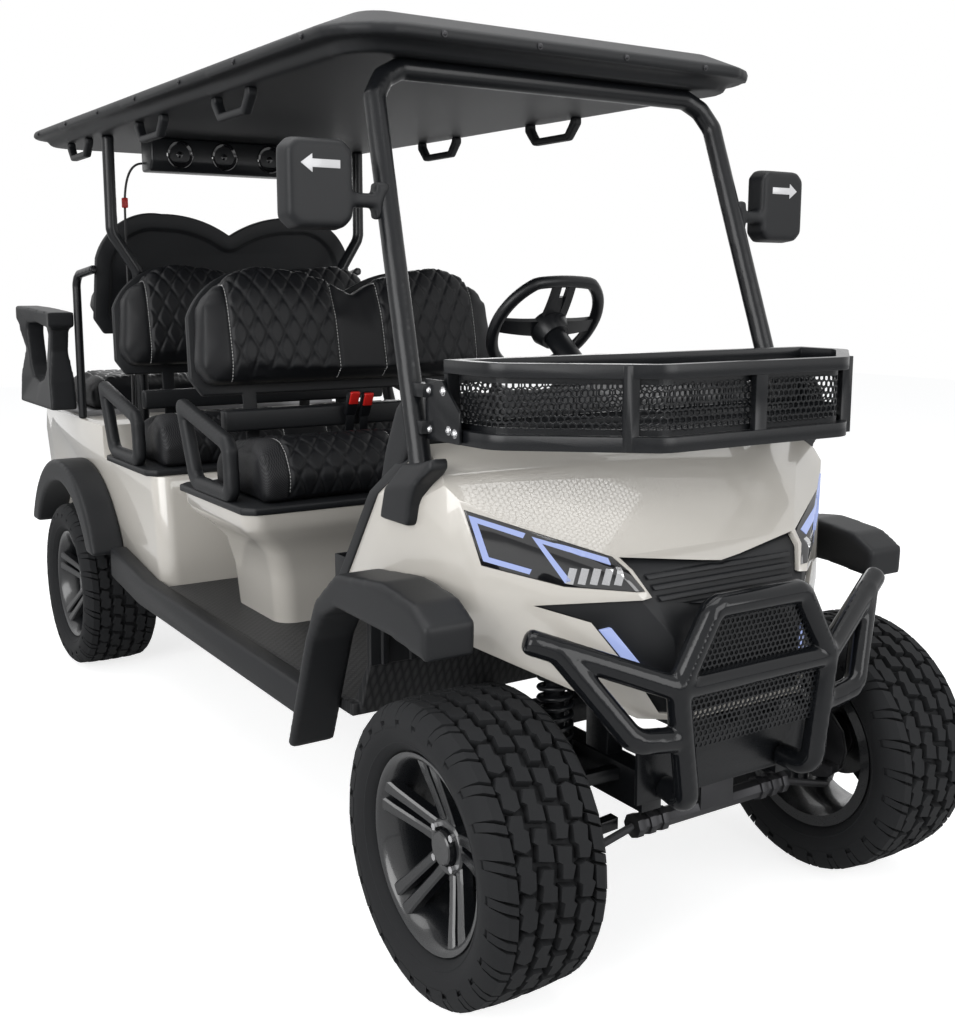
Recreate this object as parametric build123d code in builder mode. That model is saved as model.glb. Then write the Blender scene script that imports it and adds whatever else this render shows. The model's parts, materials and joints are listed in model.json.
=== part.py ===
"""Lifted six-seat utility cart, in millimetres.

+X points forward, +Y to the driver's side and +Z up. The origin lies on the
ground, under the middle of the overall box. Pieces that mirror each other about
the centre plane share one node where they belong to one body.
"""

import os
from math import ceil, cos, radians, sin, tan

from build123d import *

os.makedirs("parts", exist_ok=True)

# Driving dimensions of the whole vehicle
OVERALL_LENGTH = 3640.0
WHEELBASE = 2510.0
TRACK = 1030.0
TYRE_DIAMETER = 584.0
TYRE_WIDTH = 254.0
RIM_SEAT_DIAMETER = 356.0
SEAT_GAP = 0.3
TUBE_SIDES = 8
WHEEL_SIDES = 24
HUB_SIDES = 12
BEND_STEP = 32.0

# Places that follow from them
FRONT_AXLE_X = OVERALL_LENGTH / 2 - TYRE_DIAMETER / 2
REAR_AXLE_X = FRONT_AXLE_X - WHEELBASE
AXLE_Z = TYRE_DIAMETER / 2
HALF_TRACK = TRACK / 2
REAR_END_X = -OVERALL_LENGTH / 2


def station(ahead):
    """X of a place that lies this far ahead of the front axle."""
    return FRONT_AXLE_X + ahead


def write(piece, name):
    """Labels a finished piece and writes it as its own node."""
    piece.label = name
    export_step(piece, f"parts/{name}.step")


def polygon_corners(radius, sides):
    """Corners of a regular polygon about the origin."""
    turns = [radians(360 * side / sides) for side in range(sides)]
    return [(radius * cos(turn), radius * sin(turn)) for turn in turns]


def eased_path(points, bend_radius):
    """Path whose corners are each bent in short mitred steps that follow an arc of the bend radius."""
    path = [points[0]]
    for before, here, after in zip(points, points[1:], points[2:]):
        inward, onward = (here - before).normalized(), (after - here).normalized()
        turn = inward.get_angle(onward)
        steps = ceil(turn / BEND_STEP)
        hinge = inward.cross(onward).normalized()
        bend_start = here - inward * (bend_radius * tan(radians(turn / 2)))
        to_centre = hinge.cross(inward) * bend_radius
        reach = 1 / cos(radians(turn / steps / 2))
        for step in range(steps):
            swung = to_centre.rotate(Axis((0, 0, 0), hinge), (step + 0.5) * turn / steps)
            path.append(bend_start + to_centre - swung * reach)
    return path + [points[-1]]


def bent_tube(points, bend_radius, diameter, sides=TUBE_SIDES):
    """Tube of flats along straight runs, with mitred bends at its corners."""
    path = eased_path([Vector(*p) for p in points], bend_radius)
    runs = [(after - here).normalized() for here, after in zip(path, path[1:])]
    start = Plane(origin=path[0], z_dir=runs[0])
    corners = [start.from_local_coords((x, y, 0)) for x, y in polygon_corners(diameter / 2, sides)]
    rings = [corners]
    for here, run, onward in zip(path[1:], runs, runs[1:] + [runs[-1]]):
        mitre = (run + onward).normalized()
        corners = [c + run * ((here - c).dot(mitre) / run.dot(mitre)) for c in corners]
        rings.append(corners)
    faces = [Face(Wire.make_polygon(ring)) for ring in (rings[0], rings[-1])]
    for low, high in zip(rings, rings[1:]):
        for i in range(sides):
            j = (i + 1) % sides
            faces.append(Face(Wire.make_polygon([low[i], low[j], high[j], high[i]])))
    with BuildPart() as tube:
        add(Solid(Shell(faces)))
    return tube.part


def straight_tube(start, end, diameter, sides=TUBE_SIDES):
    """Tube of many flats between two points."""
    return bent_tube([start, end], 0, diameter, sides)


def side_slab(outline, near_y, far_y, corner_radius=0.0):
    """Side-view outline of (x, z) points, extruded from near_y to far_y."""
    with BuildPart() as slab:
        with BuildSketch(Plane.XZ.offset(-near_y)) as sketch:
            with BuildLine():
                Polyline(*outline, close=True)
            make_face()
            if corner_radius:
                fillet(sketch.vertices(), corner_radius)
        extrude(amount=-(far_y - near_y))
    return slab.part


# Wheels
TYRE_RADIUS = TYRE_DIAMETER / 2
TREAD_DEPTH = 17.0
BEAD_HALF_WIDTH = 95.0
SHOULDER_HALF_WIDTH = 116.0
BULGE_RADIUS = 232.0
LUG_COUNT = 12
LUG_LENGTH = 66.0
LUG_INNER_Y = 34.0
RIM_LIP_WIDTH = 8.0
RIM_LIP_RISE = 13.0
RIM_WALL = 12.0
SPOKE_PAIRS = 5
SPOKE_WIDTH = 23.0
SPOKE_SPLIT = 17.0
HUB_RADIUS = 60.0
HUB_INNER_Y = 20.0
HUB_OUTER_Y = 50.0
CAP_RADIUS = 36.0
CAP_OUTER_Y = 66.0
SPINDLE_RADIUS = 18.0
SPINDLE_CLEARANCE = 0.05
SPINDLE_END_Y = 44.0
DISC_RADIUS = 100.0
DISC_THICKNESS = 7.0
RIM_SEAT_RADIUS = RIM_SEAT_DIAMETER / 2
RIM_INNER_RADIUS = RIM_SEAT_RADIUS - RIM_WALL
BEAD_RADIUS = RIM_SEAT_RADIUS + RIM_LIP_RISE + 5
BEAD_CHAMFER = 18.0


def wheel_ring(outer, inner, near_y, far_y):
    """Ring of many flats about the Y axis."""
    with BuildPart() as ring:
        with BuildSketch(Plane.XZ.offset(-near_y)):
            RegularPolygon(outer, WHEEL_SIDES)
            if inner:
                RegularPolygon(inner, WHEEL_SIDES, mode=Mode.SUBTRACT)
        extrude(amount=-(far_y - near_y))
    return ring.part


def tyre_solid():
    """All-terrain tyre about the Y axis, with a staggered row of shoulder lugs each side."""
    base_radius = TYRE_RADIUS - TREAD_DEPTH
    half = TYRE_WIDTH / 2
    with BuildPart() as lug:
        with BuildSketch(Plane.YZ):
            with BuildLine():
                Polyline(
                    (LUG_INNER_Y, base_radius - 3),
                    (LUG_INNER_Y, TYRE_RADIUS),
                    (SHOULDER_HALF_WIDTH - 6, TYRE_RADIUS - 2),
                    (half - 1, base_radius - 18),
                    (SHOULDER_HALF_WIDTH - 4, base_radius - 12),
                    close=True,
                )
            make_face()
        extrude(amount=LUG_LENGTH / 2, both=True)
    pitch = 360 / LUG_COUNT
    with BuildPart() as tyre:
        add(wheel_ring(base_radius, RIM_SEAT_RADIUS, -half, half))
        for near, far in ((-half, -BEAD_HALF_WIDTH), (BEAD_HALF_WIDTH, half)):
            add(wheel_ring(BEAD_RADIUS, 0, near, far), mode=Mode.SUBTRACT)
        for end in (0, -1):
            side_face = tyre.faces().sort_by(Axis.Y)[end]
            rim_side = side_face.inner_wires()[0].edges()
            chamfer(rim_side, BEAD_CHAMFER)
            side_face = tyre.faces().sort_by(Axis.Y)[end]
            tread_side = side_face.outer_wire().edges()
            shoulder_drop, shoulder_width = base_radius - BULGE_RADIUS, half - SHOULDER_HALF_WIDTH
            chamfer(tread_side, shoulder_drop, shoulder_width, reference=side_face)
        near_row = [lug.part.rotate(Axis.Y, turn * pitch) for turn in range(LUG_COUNT)]
        far_row = [row_lug.rotate(Axis.Z, 180).rotate(Axis.Y, pitch / 2) for row_lug in near_row]
        add(near_row + far_row)
    return tyre.part


def rim_solid():
    """Cast wheel about the Y axis: barrel, split spokes that dish in to the hub, brake disc and cap."""
    seat = RIM_SEAT_RADIUS - SEAT_GAP
    edge = BEAD_HALF_WIDTH + SEAT_GAP + RIM_LIP_WIDTH
    with BuildPart() as rim:
        add(wheel_ring(seat, RIM_INNER_RADIUS, -edge, edge))
        for near, far in ((-edge, -edge + RIM_LIP_WIDTH), (edge - RIM_LIP_WIDTH, edge)):
            add(wheel_ring(RIM_SEAT_RADIUS + RIM_LIP_RISE, RIM_INNER_RADIUS, near, far))
        with BuildSketch(Plane.XZ.offset(-HUB_INNER_Y)):
            RegularPolygon(HUB_RADIUS, HUB_SIDES)
        extrude(amount=-(HUB_OUTER_Y - HUB_INNER_Y))
        with BuildSketch(Plane.XZ.offset(-HUB_OUTER_Y)):
            RegularPolygon(CAP_RADIUS, HUB_SIDES)
        extrude(amount=-(CAP_OUTER_Y - HUB_OUTER_Y))
        with BuildSketch(Plane.XZ.offset(-HUB_INNER_Y)):
            RegularPolygon(DISC_RADIUS, HUB_SIDES)
        extrude(amount=-DISC_THICKNESS)
        with BuildPart(mode=Mode.PRIVATE) as spoke:
            for side in (-1, 1):
                with BuildSketch(Plane.YZ.offset(side * SPOKE_SPLIT)):
                    with BuildLine():
                        Polyline(
                            (edge - 10, RIM_INNER_RADIUS + 2),
                            (edge - 38, RIM_INNER_RADIUS + 2),
                            (HUB_INNER_Y + 8, HUB_RADIUS - 14),
                            (HUB_OUTER_Y - 2, HUB_RADIUS - 14),
                            (HUB_OUTER_Y + 14, HUB_RADIUS + 50),
                            close=True,
                        )
                    make_face()
                extrude(amount=SPOKE_WIDTH / 2, both=True)
        add([spoke.part.rotate(Axis.Y, turn * 360 / SPOKE_PAIRS) for turn in range(SPOKE_PAIRS)])
        with BuildSketch(Plane.XZ.offset(-HUB_INNER_Y)):
            Circle(SPINDLE_RADIUS + SPINDLE_CLEARANCE)
        extrude(amount=-(SPINDLE_END_Y + 1 - HUB_INNER_Y), mode=Mode.SUBTRACT)
    return rim.part


tyre_model = tyre_solid()
rim_model = rim_solid()

# name, axle X, side: the driver's side is +1
WHEELS = [
    ("front_left", FRONT_AXLE_X, 1),
    ("front_right", FRONT_AXLE_X, -1),
    ("rear_left", REAR_AXLE_X, 1),
    ("rear_right", REAR_AXLE_X, -1),
]
for corner, axle_x, side in WHEELS:
    centre = Location((axle_x, side * HALF_TRACK, AXLE_Z), (0, 0, 0 if side > 0 else 180))
    write(tyre_model.moved(centre), f"tyre_{corner}")
    write(rim_model.moved(centre), f"rim_{corner}")

# Ladder chassis
RAIL_Y = 185.0
RAIL_WIDTH = 50.0
RAIL_HEIGHT = 80.0
RAIL_TOP_Z = 410.0
RAIL_FRONT_X = station(150)
RAIL_REAR_X = station(-3250)
CROSS_WIDTH = 50.0
CROSS_HEIGHT = 60.0
CROSS_STATIONS = (122, -300, -760, -1250, -1720, -2120, -2860, -3225)
OUTRIGGER_STATIONS = (-640, -1250, -1660)
OUTRIGGER_HEIGHT = 40.0
FLOOR_HALF_WIDTH = 540.0
TOWER_AHEAD = 0.0
TOWER_WIDTH = 70.0
SHOCK_Y = 312.0
SHOCK_TOP_Z = 628.0
TOWER_PLATE = 16.0
RAIL_OUTER_Y = RAIL_Y + RAIL_WIDTH / 2
SPRING_Y = 300.0
SPRING_WIDTH = 60.0
SPRING_HALF_LENGTH = 400.0
HANGER_LENGTH = 46.0

with BuildPart() as chassis_frame:
    rail_length = RAIL_FRONT_X - RAIL_REAR_X
    rail_mid_x = (RAIL_FRONT_X + RAIL_REAR_X) / 2
    for side in (-1, 1):
        with Locations((rail_mid_x, side * RAIL_Y, RAIL_TOP_Z - RAIL_HEIGHT / 2)):
            Box(rail_length, RAIL_WIDTH, RAIL_HEIGHT)
    for ahead in CROSS_STATIONS:
        with Locations((station(ahead), 0, RAIL_TOP_Z - CROSS_HEIGHT / 2)):
            Box(CROSS_WIDTH, 2 * RAIL_Y, CROSS_HEIGHT)
    for ahead in OUTRIGGER_STATIONS:
        with Locations((station(ahead), 0, RAIL_TOP_Z - OUTRIGGER_HEIGHT / 2)):
            Box(CROSS_WIDTH, 2 * FLOOR_HALF_WIDTH, OUTRIGGER_HEIGHT)
    for side in (-1, 1):
        with Locations(
            (station(TOWER_AHEAD), side * RAIL_Y, (RAIL_TOP_Z + SHOCK_TOP_Z) / 2 - 5)
        ):
            Box(TOWER_WIDTH, RAIL_WIDTH - 10, SHOCK_TOP_Z - RAIL_TOP_Z + 10)
    with Locations((station(TOWER_AHEAD), 0, SHOCK_TOP_Z + TOWER_PLATE / 2)):
        Box(TOWER_WIDTH, 2 * (SHOCK_Y + 35), TOWER_PLATE)
    for end in (-1, 1):
        hanger_x = REAR_AXLE_X + end * SPRING_HALF_LENGTH
        with Locations((hanger_x, 0, RAIL_TOP_Z - CROSS_HEIGHT / 4)):
            Box(HANGER_LENGTH, 2 * (SPRING_Y + SPRING_WIDTH / 2), CROSS_HEIGHT / 2)
write(chassis_frame.part, "chassis_frame")

# Front wishbones, their coil-over shocks and the steered knuckles
KINGPIN_Y = 405.0
KINGPIN_RADIUS = 10.0
PIN_CLEARANCE = 0.05
EYE_RADIUS = 22.0
ARM_THICKNESS = 25.0
LOWER_EYE_Z = 215.0
UPPER_EYE_Z = 345.0
ARM_SPREAD = 80.0
ARM_WIDTH = 24.0
KNUCKLE_RADIUS = 24.0
KNUCKLE_END_GAP = 0.5
STEER_ARM_REACH = 105.0
STEER_ARM_Z = 262.0
FLANGE_RADIUS = 52.0
BACK_PLATE_Y = 452.0
KINGPIN_END = 3.0
SHOCK_FOOT_Z = 266.0
ARM_TABLE = [
    # eye bottom Z, root bottom Z
    (LOWER_EYE_Z, LOWER_EYE_Z + 55),
    (UPPER_EYE_Z, UPPER_EYE_Z + 30),
]

WISHBONE_PLAN = [
    # ahead of the axle, half width of the vehicle, from the crotch out to the root and on to the eye
    (0, KINGPIN_Y - 45),
    (ARM_SPREAD - ARM_WIDTH, RAIL_OUTER_Y + SEAT_GAP),
    (ARM_SPREAD, RAIL_OUTER_Y + SEAT_GAP),
    (ARM_WIDTH / 2, KINGPIN_Y - 30),
    (ARM_WIDTH / 2, KINGPIN_Y),
]

with BuildPart() as front_arms:
    tongue_y = KINGPIN_Y - KNUCKLE_RADIUS - 5
    root_y = RAIL_OUTER_Y + SEAT_GAP
    for eye_z, root_z in ARM_TABLE:
        with BuildPart(mode=Mode.PRIVATE) as wishbone:
            with BuildSketch(Plane.YZ):
                with BuildLine():
                    Polyline(
                        (root_y, root_z),
                        (tongue_y, eye_z),
                        (KINGPIN_Y, eye_z),
                        (KINGPIN_Y, eye_z + ARM_THICKNESS),
                        (tongue_y, eye_z + ARM_THICKNESS),
                        (root_y, root_z + ARM_THICKNESS),
                        close=True,
                    )
                make_face()
            extrude(amount=OVERALL_LENGTH)
            with BuildSketch(Plane.XY):
                with BuildLine():
                    Polyline(
                        *[(station(-x), y) for x, y in reversed(WISHBONE_PLAN)],
                        *[(station(x), y) for x, y in WISHBONE_PLAN[1:]],
                        close=True,
                    )
                make_face()
            extrude(amount=AXLE_Z * 2, mode=Mode.INTERSECT)
        add(wishbone.part)
        with BuildSketch(Plane.XY.offset(eye_z)):
            with Locations((FRONT_AXLE_X, KINGPIN_Y)):
                RegularPolygon(EYE_RADIUS, HUB_SIDES)
        extrude(amount=ARM_THICKNESS)
    with Locations((station(TOWER_AHEAD), SHOCK_Y, SHOCK_FOOT_Z - ARM_THICKNESS / 2)):
        Box(ARM_SPREAD, 40, ARM_THICKNESS)
    with BuildSketch(Plane.XY.offset(LOWER_EYE_Z - 50)):
        with Locations((FRONT_AXLE_X, KINGPIN_Y)):
            Circle(KINGPIN_RADIUS + PIN_CLEARANCE)
    extrude(amount=300, mode=Mode.SUBTRACT)
    mirror(about=Plane.XZ)
write(front_arms.part, "front_arms")


def knuckle_solid():
    """Driver's side knuckle: kingpin, steering arm and wheel spindle."""
    low = LOWER_EYE_Z + ARM_THICKNESS + KNUCKLE_END_GAP
    high = UPPER_EYE_Z - KNUCKLE_END_GAP
    hub_face = HALF_TRACK + HUB_INNER_Y - SEAT_GAP
    with BuildPart() as knuckle:
        with BuildSketch(Plane.XY.offset(low)):
            with Locations((FRONT_AXLE_X, KINGPIN_Y)):
                RegularPolygon(KNUCKLE_RADIUS, TUBE_SIDES)
        extrude(amount=high - low)
        with BuildSketch(Plane.XY.offset(LOWER_EYE_Z - KINGPIN_END)):
            with Locations((FRONT_AXLE_X, KINGPIN_Y)):
                Circle(KINGPIN_RADIUS)
        extrude(amount=UPPER_EYE_Z - LOWER_EYE_Z + ARM_THICKNESS + 2 * KINGPIN_END)
        with BuildSketch(Plane.XZ.offset(-KINGPIN_Y)):
            with Locations((FRONT_AXLE_X, AXLE_Z)):
                RegularPolygon(SPINDLE_RADIUS, TUBE_SIDES)
        extrude(amount=-(hub_face - 14 - KINGPIN_Y))
        with BuildSketch(Plane.XZ.offset(-hub_face)):
            with Locations((FRONT_AXLE_X, AXLE_Z)):
                Circle(SPINDLE_RADIUS)
        extrude(amount=-(HALF_TRACK + SPINDLE_END_Y - hub_face))
        with BuildSketch(Plane.XZ.offset(-(hub_face - 14))):
            with Locations((FRONT_AXLE_X, AXLE_Z)):
                RegularPolygon(FLANGE_RADIUS, HUB_SIDES)
        extrude(amount=-14)
        with BuildSketch(Plane.XZ.offset(-BACK_PLATE_Y)):
            with Locations((FRONT_AXLE_X, AXLE_Z)):
                RegularPolygon(DISC_RADIUS - 12, HUB_SIDES)
        extrude(amount=-10)
        with Locations((station(STEER_ARM_REACH / 2), KINGPIN_Y - 8, STEER_ARM_Z + 9)):
            Box(STEER_ARM_REACH + 10, 26, 18)
    return knuckle.part


knuckle_left = knuckle_solid()
write(knuckle_left, "knuckle_left")
write(mirror(knuckle_left, about=Plane.XZ), "knuckle_right")

SPRING_COIL_DIAMETER = 78.0
COIL_WIRE = 11.0
COIL_TURNS = 4
DAMPER_DIAMETER = 40.0
SHOCK_ROD_DIAMETER = 22.0
COIL_LOW_Z = 430.0
with BuildPart() as front_shocks:
    shock_x = station(TOWER_AHEAD)
    top = (shock_x, SHOCK_Y, SHOCK_TOP_Z - SEAT_GAP)
    foot_z = SHOCK_FOOT_Z + SEAT_GAP
    coil_low = COIL_LOW_Z
    with BuildSketch(Plane.XY.offset(foot_z)):
        with Locations((shock_x, SHOCK_Y)):
            RegularPolygon(SHOCK_ROD_DIAMETER / 2, 8)
    extrude(amount=coil_low - foot_z)
    with BuildSketch(Plane.XY.offset(coil_low)):
        with Locations((shock_x, SHOCK_Y)):
            RegularPolygon(DAMPER_DIAMETER / 2, TUBE_SIDES)
    extrude(amount=top[2] - coil_low)
    coil_pitch = (top[2] - coil_low) / COIL_TURNS
    for turn in range(COIL_TURNS):
        with BuildSketch(Plane.XY.offset(coil_low + turn * coil_pitch)):
            with Locations((shock_x, SHOCK_Y)):
                RegularPolygon(SPRING_COIL_DIAMETER / 2, TUBE_SIDES)
        extrude(amount=COIL_WIRE)
    mirror(about=Plane.XZ)
write(front_shocks.part, "front_shocks")

# Steering rack with bellows and tie rods, whose eyes sit under the steering arms
RACK_AHEAD = 122.0
RACK_Z = 292.0
RACK_DIAMETER = 40.0
BELLOWS_DIAMETER = 50.0
TIE_ROD_DIAMETER = 16.0
BELLOWS_RIBS = 5
RACK_HALF = 130.0
BELLOWS_LENGTH = 80.0
with BuildPart() as steering_rack:
    rack_x = station(RACK_AHEAD)
    with BuildSketch(Plane.XZ):
        with Locations((rack_x, RACK_Z)):
            RegularPolygon(RACK_DIAMETER / 2, TUBE_SIDES)
    extrude(amount=RACK_HALF, both=True)
    with Locations((rack_x, 0, (RACK_Z + RAIL_TOP_Z - CROSS_HEIGHT) / 2)):
        Box(40, 90, RAIL_TOP_Z - CROSS_HEIGHT - RACK_Z - 2 * SEAT_GAP)
    for side in (-1, 1):
        for rib in range(BELLOWS_RIBS):
            rib_y = side * (RACK_HALF + rib * BELLOWS_LENGTH / BELLOWS_RIBS)
            step = side * BELLOWS_LENGTH / BELLOWS_RIBS
            with BuildSketch(Plane.XZ.offset(-rib_y)):
                with Locations((rack_x, RACK_Z)):
                    RegularPolygon(BELLOWS_DIAMETER / 2 - (5 if rib % 2 else 0), TUBE_SIDES)
            extrude(amount=-step)
        tie_start = (rack_x, side * (RACK_HALF + BELLOWS_LENGTH - 5), RACK_Z)
        tie_end = (rack_x - 18, side * (KINGPIN_Y - 32), STEER_ARM_Z - 22)
        add(straight_tube(tie_start, tie_end, TIE_ROD_DIAMETER, 8))
write(steering_rack.part, "steering_rack")

# Rear axle, leaf springs and drive motor
AXLE_TUBE_RADIUS = 32.0
DIFF_RADIUS = 95.0
DIFF_WIDTH = 150.0
MOTOR_RADIUS = 82.0
MOTOR_LENGTH = 250.0
LEAF_THICKNESS = 24.0
SADDLE_LENGTH = 76.0
with BuildPart() as rear_axle:
    hub_face = HALF_TRACK + HUB_INNER_Y - SEAT_GAP
    with BuildSketch(Plane.XZ):
        with Locations((REAR_AXLE_X, AXLE_Z)):
            RegularPolygon(AXLE_TUBE_RADIUS, TUBE_SIDES)
    extrude(amount=hub_face - 10, both=True)
    with BuildSketch(Plane.XZ):
        with Locations((REAR_AXLE_X, AXLE_Z)):
            RegularPolygon(DIFF_RADIUS, HUB_SIDES)
    extrude(amount=DIFF_WIDTH / 2, both=True)
    with BuildSketch(Plane.XZ):
        with Locations((REAR_AXLE_X - DIFF_RADIUS - 20, AXLE_Z + 10)):
            RegularPolygon(MOTOR_RADIUS, HUB_SIDES)
    extrude(amount=MOTOR_LENGTH / 2, both=True)
    for side in (-1, 1):
        with Locations((REAR_AXLE_X, side * SPRING_Y, AXLE_Z + AXLE_TUBE_RADIUS / 2)):
            Box(SADDLE_LENGTH, SPRING_WIDTH, AXLE_TUBE_RADIUS)
        with BuildSketch(Plane.XZ.offset(-side * (hub_face - 14))):
            with Locations((REAR_AXLE_X, AXLE_Z)):
                RegularPolygon(FLANGE_RADIUS, HUB_SIDES)
        extrude(amount=-side * 14)
        with BuildSketch(Plane.XZ.offset(-side * hub_face)):
            with Locations((REAR_AXLE_X, AXLE_Z)):
                Circle(SPINDLE_RADIUS)
        extrude(amount=-side * (SPINDLE_END_Y - HUB_INNER_Y))
write(rear_axle.part, "rear_axle")

with BuildPart() as leaf_springs:
    spring_low = AXLE_Z + AXLE_TUBE_RADIUS + SEAT_GAP
    eye_low = RAIL_TOP_Z - CROSS_HEIGHT / 2 - SEAT_GAP - LEAF_THICKNESS
    with BuildSketch(Plane.XZ.offset(-(SPRING_Y - SPRING_WIDTH / 2))):
        with BuildLine():
            low_arc = ThreePointArc(
                (REAR_AXLE_X - SPRING_HALF_LENGTH, eye_low),
                (REAR_AXLE_X, spring_low),
                (REAR_AXLE_X + SPRING_HALF_LENGTH, eye_low),
            )
            Line(low_arc @ 1, (REAR_AXLE_X + SPRING_HALF_LENGTH, eye_low + LEAF_THICKNESS))
            high_arc = ThreePointArc(
                (REAR_AXLE_X + SPRING_HALF_LENGTH, eye_low + LEAF_THICKNESS),
                (REAR_AXLE_X, spring_low + LEAF_THICKNESS),
                (REAR_AXLE_X - SPRING_HALF_LENGTH, eye_low + LEAF_THICKNESS),
            )
            Line(high_arc @ 1, low_arc @ 0)
        make_face()
    extrude(amount=-SPRING_WIDTH)
    mirror(about=Plane.XZ)
write(leaf_springs.part, "leaf_springs")

# Floor with its toe board
FLOOR_THICKNESS = 30.0
FLOOR_FRONT_AHEAD = -440.0
FLOOR_REAR_AHEAD = -1695.0
TOE_AHEAD = -395.0
TOE_THICKNESS = 14.0
TOE_HALF_WIDTH = 520.0
DASH_LOW_Z = 757.0
FLOOR_TOP_Z = RAIL_TOP_Z + SEAT_GAP + FLOOR_THICKNESS
with BuildPart() as floor_board:
    floor_length = FLOOR_FRONT_AHEAD - FLOOR_REAR_AHEAD
    floor_mid = station((FLOOR_FRONT_AHEAD + FLOOR_REAR_AHEAD) / 2)
    with Locations((floor_mid, 0, FLOOR_TOP_Z - FLOOR_THICKNESS / 2)):
        Box(floor_length, 2 * FLOOR_HALF_WIDTH, FLOOR_THICKNESS)
    with BuildSketch(Plane.XZ):
        with BuildLine():
            Polyline(
                (station(FLOOR_FRONT_AHEAD) - 30, FLOOR_TOP_Z),
                (station(FLOOR_FRONT_AHEAD), FLOOR_TOP_Z - FLOOR_THICKNESS),
                (station(TOE_AHEAD), FLOOR_TOP_Z + 90),
                (station(TOE_AHEAD), DASH_LOW_Z - SEAT_GAP),
                (station(TOE_AHEAD) - TOE_THICKNESS, DASH_LOW_Z - SEAT_GAP),
                (station(TOE_AHEAD) - TOE_THICKNESS, FLOOR_TOP_Z + 95),
                close=True,
            )
        make_face()
    extrude(amount=TOE_HALF_WIDTH, both=True)
write(floor_board.part, "floor_board")

LINER_THICKNESS = 6.0
LINER_RIB = 6.0
LINER_INNER_Y = 240.0
LINER_RIBS = 4
with BuildPart() as wheel_liners:
    liner_x = station(TOE_AHEAD) + SEAT_GAP
    liner_low, liner_high = FLOOR_TOP_Z + 95, DASH_LOW_Z - 40
    liner_mid_z = (liner_low + liner_high) / 2
    with Locations((liner_x + LINER_THICKNESS / 2, (LINER_INNER_Y + TOE_HALF_WIDTH) / 2, liner_mid_z)):
        Box(LINER_THICKNESS, TOE_HALF_WIDTH - LINER_INNER_Y, liner_high - liner_low)
    for rib in range(LINER_RIBS):
        rib_y = LINER_INNER_Y + (rib + 0.5) * (TOE_HALF_WIDTH - LINER_INNER_Y) / LINER_RIBS
        with Locations((liner_x + LINER_THICKNESS + LINER_RIB / 2, rib_y, liner_mid_z)):
            Box(LINER_RIB, 16, liner_high - liner_low)
    mirror(about=Plane.XZ)
write(wheel_liners.part, "wheel_liners")

ROCKER_WIDTH = 55.0
ROCKER_FRONT_AHEAD = -565.0
ROCKER_REAR_AHEAD = -2085.0
ROCKER_OUTLINE = [
    # ahead of the front axle, Z
    (ROCKER_FRONT_AHEAD, RAIL_TOP_Z - 42),
    (ROCKER_FRONT_AHEAD, FLOOR_TOP_Z + 4),
    (-1750, FLOOR_TOP_Z + 14),
    (ROCKER_REAR_AHEAD, FLOOR_TOP_Z + 60),
    (ROCKER_REAR_AHEAD, RAIL_TOP_Z - 10),
    (-1800, RAIL_TOP_Z - 42),
]
with BuildPart() as rocker_panels:
    add(
        side_slab(
            [(station(ahead), z) for ahead, z in ROCKER_OUTLINE],
            FLOOR_HALF_WIDTH + SEAT_GAP,
            FLOOR_HALF_WIDTH + SEAT_GAP + ROCKER_WIDTH,
        )
    )
    mirror(about=Plane.XZ)
write(rocker_panels.part, "rocker_panels")

# Front body: one volume drawn from the side, from above and from the front
COWL_WALL = 10.0
COWL_HALF_WIDTH = FLOOR_HALF_WIDTH
COWL_SIDE = [
    # ahead of the front axle, Z
    (-700, 300),
    (-700, 1034),
    (-235, 1034),
    (-130, 1000),
    (128, 815),
    (196, 690),
    (212, 520),
    (212, 300),
]
COWL_PLAN = [
    # ahead of the front axle, half width
    (-700, COWL_HALF_WIDTH),
    (-170, COWL_HALF_WIDTH),
    (-60, 500),
    (150, 232),
    (215, 150),
]
COWL_FACE = [
    # half width, Z
    (COWL_HALF_WIDTH, 300),
    (COWL_HALF_WIDTH, 930),
    (470, 1040),
    (0, 1060),
]
COWL_LOW_EDGE = [
    # half width, Z of the lower edge, from the centre outwards
    (0, 528),
    (228, 528),
    (483, 664),
    (COWL_HALF_WIDTH + 20, 674),
]
TRIM_TOP = (-240, 1034)
TRIM_LOW = (-515, 650)


def both_halves(points):
    """Outline from half-width points: the given side, then its mirror image back again."""
    return [(x, y) for x, y in points] + [(x, -y) for x, y in reversed(points)]


def face_halves(points):
    """Front-view outline from half-width points, then its mirror image back again."""
    return [(y, z) for y, z in points] + [(-y, z) for y, z in reversed(points) if y]


def cowl_form(inset):
    """Volume of the front body, drawn in by inset on every side that shows."""
    with BuildPart() as form:
        with BuildSketch(Plane.XZ):
            with BuildLine():
                Polyline(*[(station(x), z) for x, z in COWL_SIDE], close=True)
            make_face()
            if inset:
                offset(amount=-inset)
        extrude(amount=2 * COWL_HALF_WIDTH, both=True)
        with BuildSketch(Plane.XY):
            with BuildLine():
                Polyline(*both_halves([(station(x), y) for x, y in COWL_PLAN]), close=True)
            make_face()
            if inset:
                offset(amount=-inset)
        extrude(amount=2000, mode=Mode.INTERSECT)
        with BuildSketch(Plane.YZ):
            with BuildLine():
                Polyline(*face_halves(COWL_FACE), close=True)
            make_face()
            if inset:
                offset(amount=-inset)
        extrude(amount=OVERALL_LENGTH, both=True, mode=Mode.INTERSECT)
    return form.part


def trim_x(z):
    """Distance ahead of the front axle of the cowl's slanting rear edge at height z."""
    share = (TRIM_TOP[1] - z) / (TRIM_TOP[1] - TRIM_LOW[1])
    return TRIM_TOP[0] + share * (TRIM_LOW[0] - TRIM_TOP[0])


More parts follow.
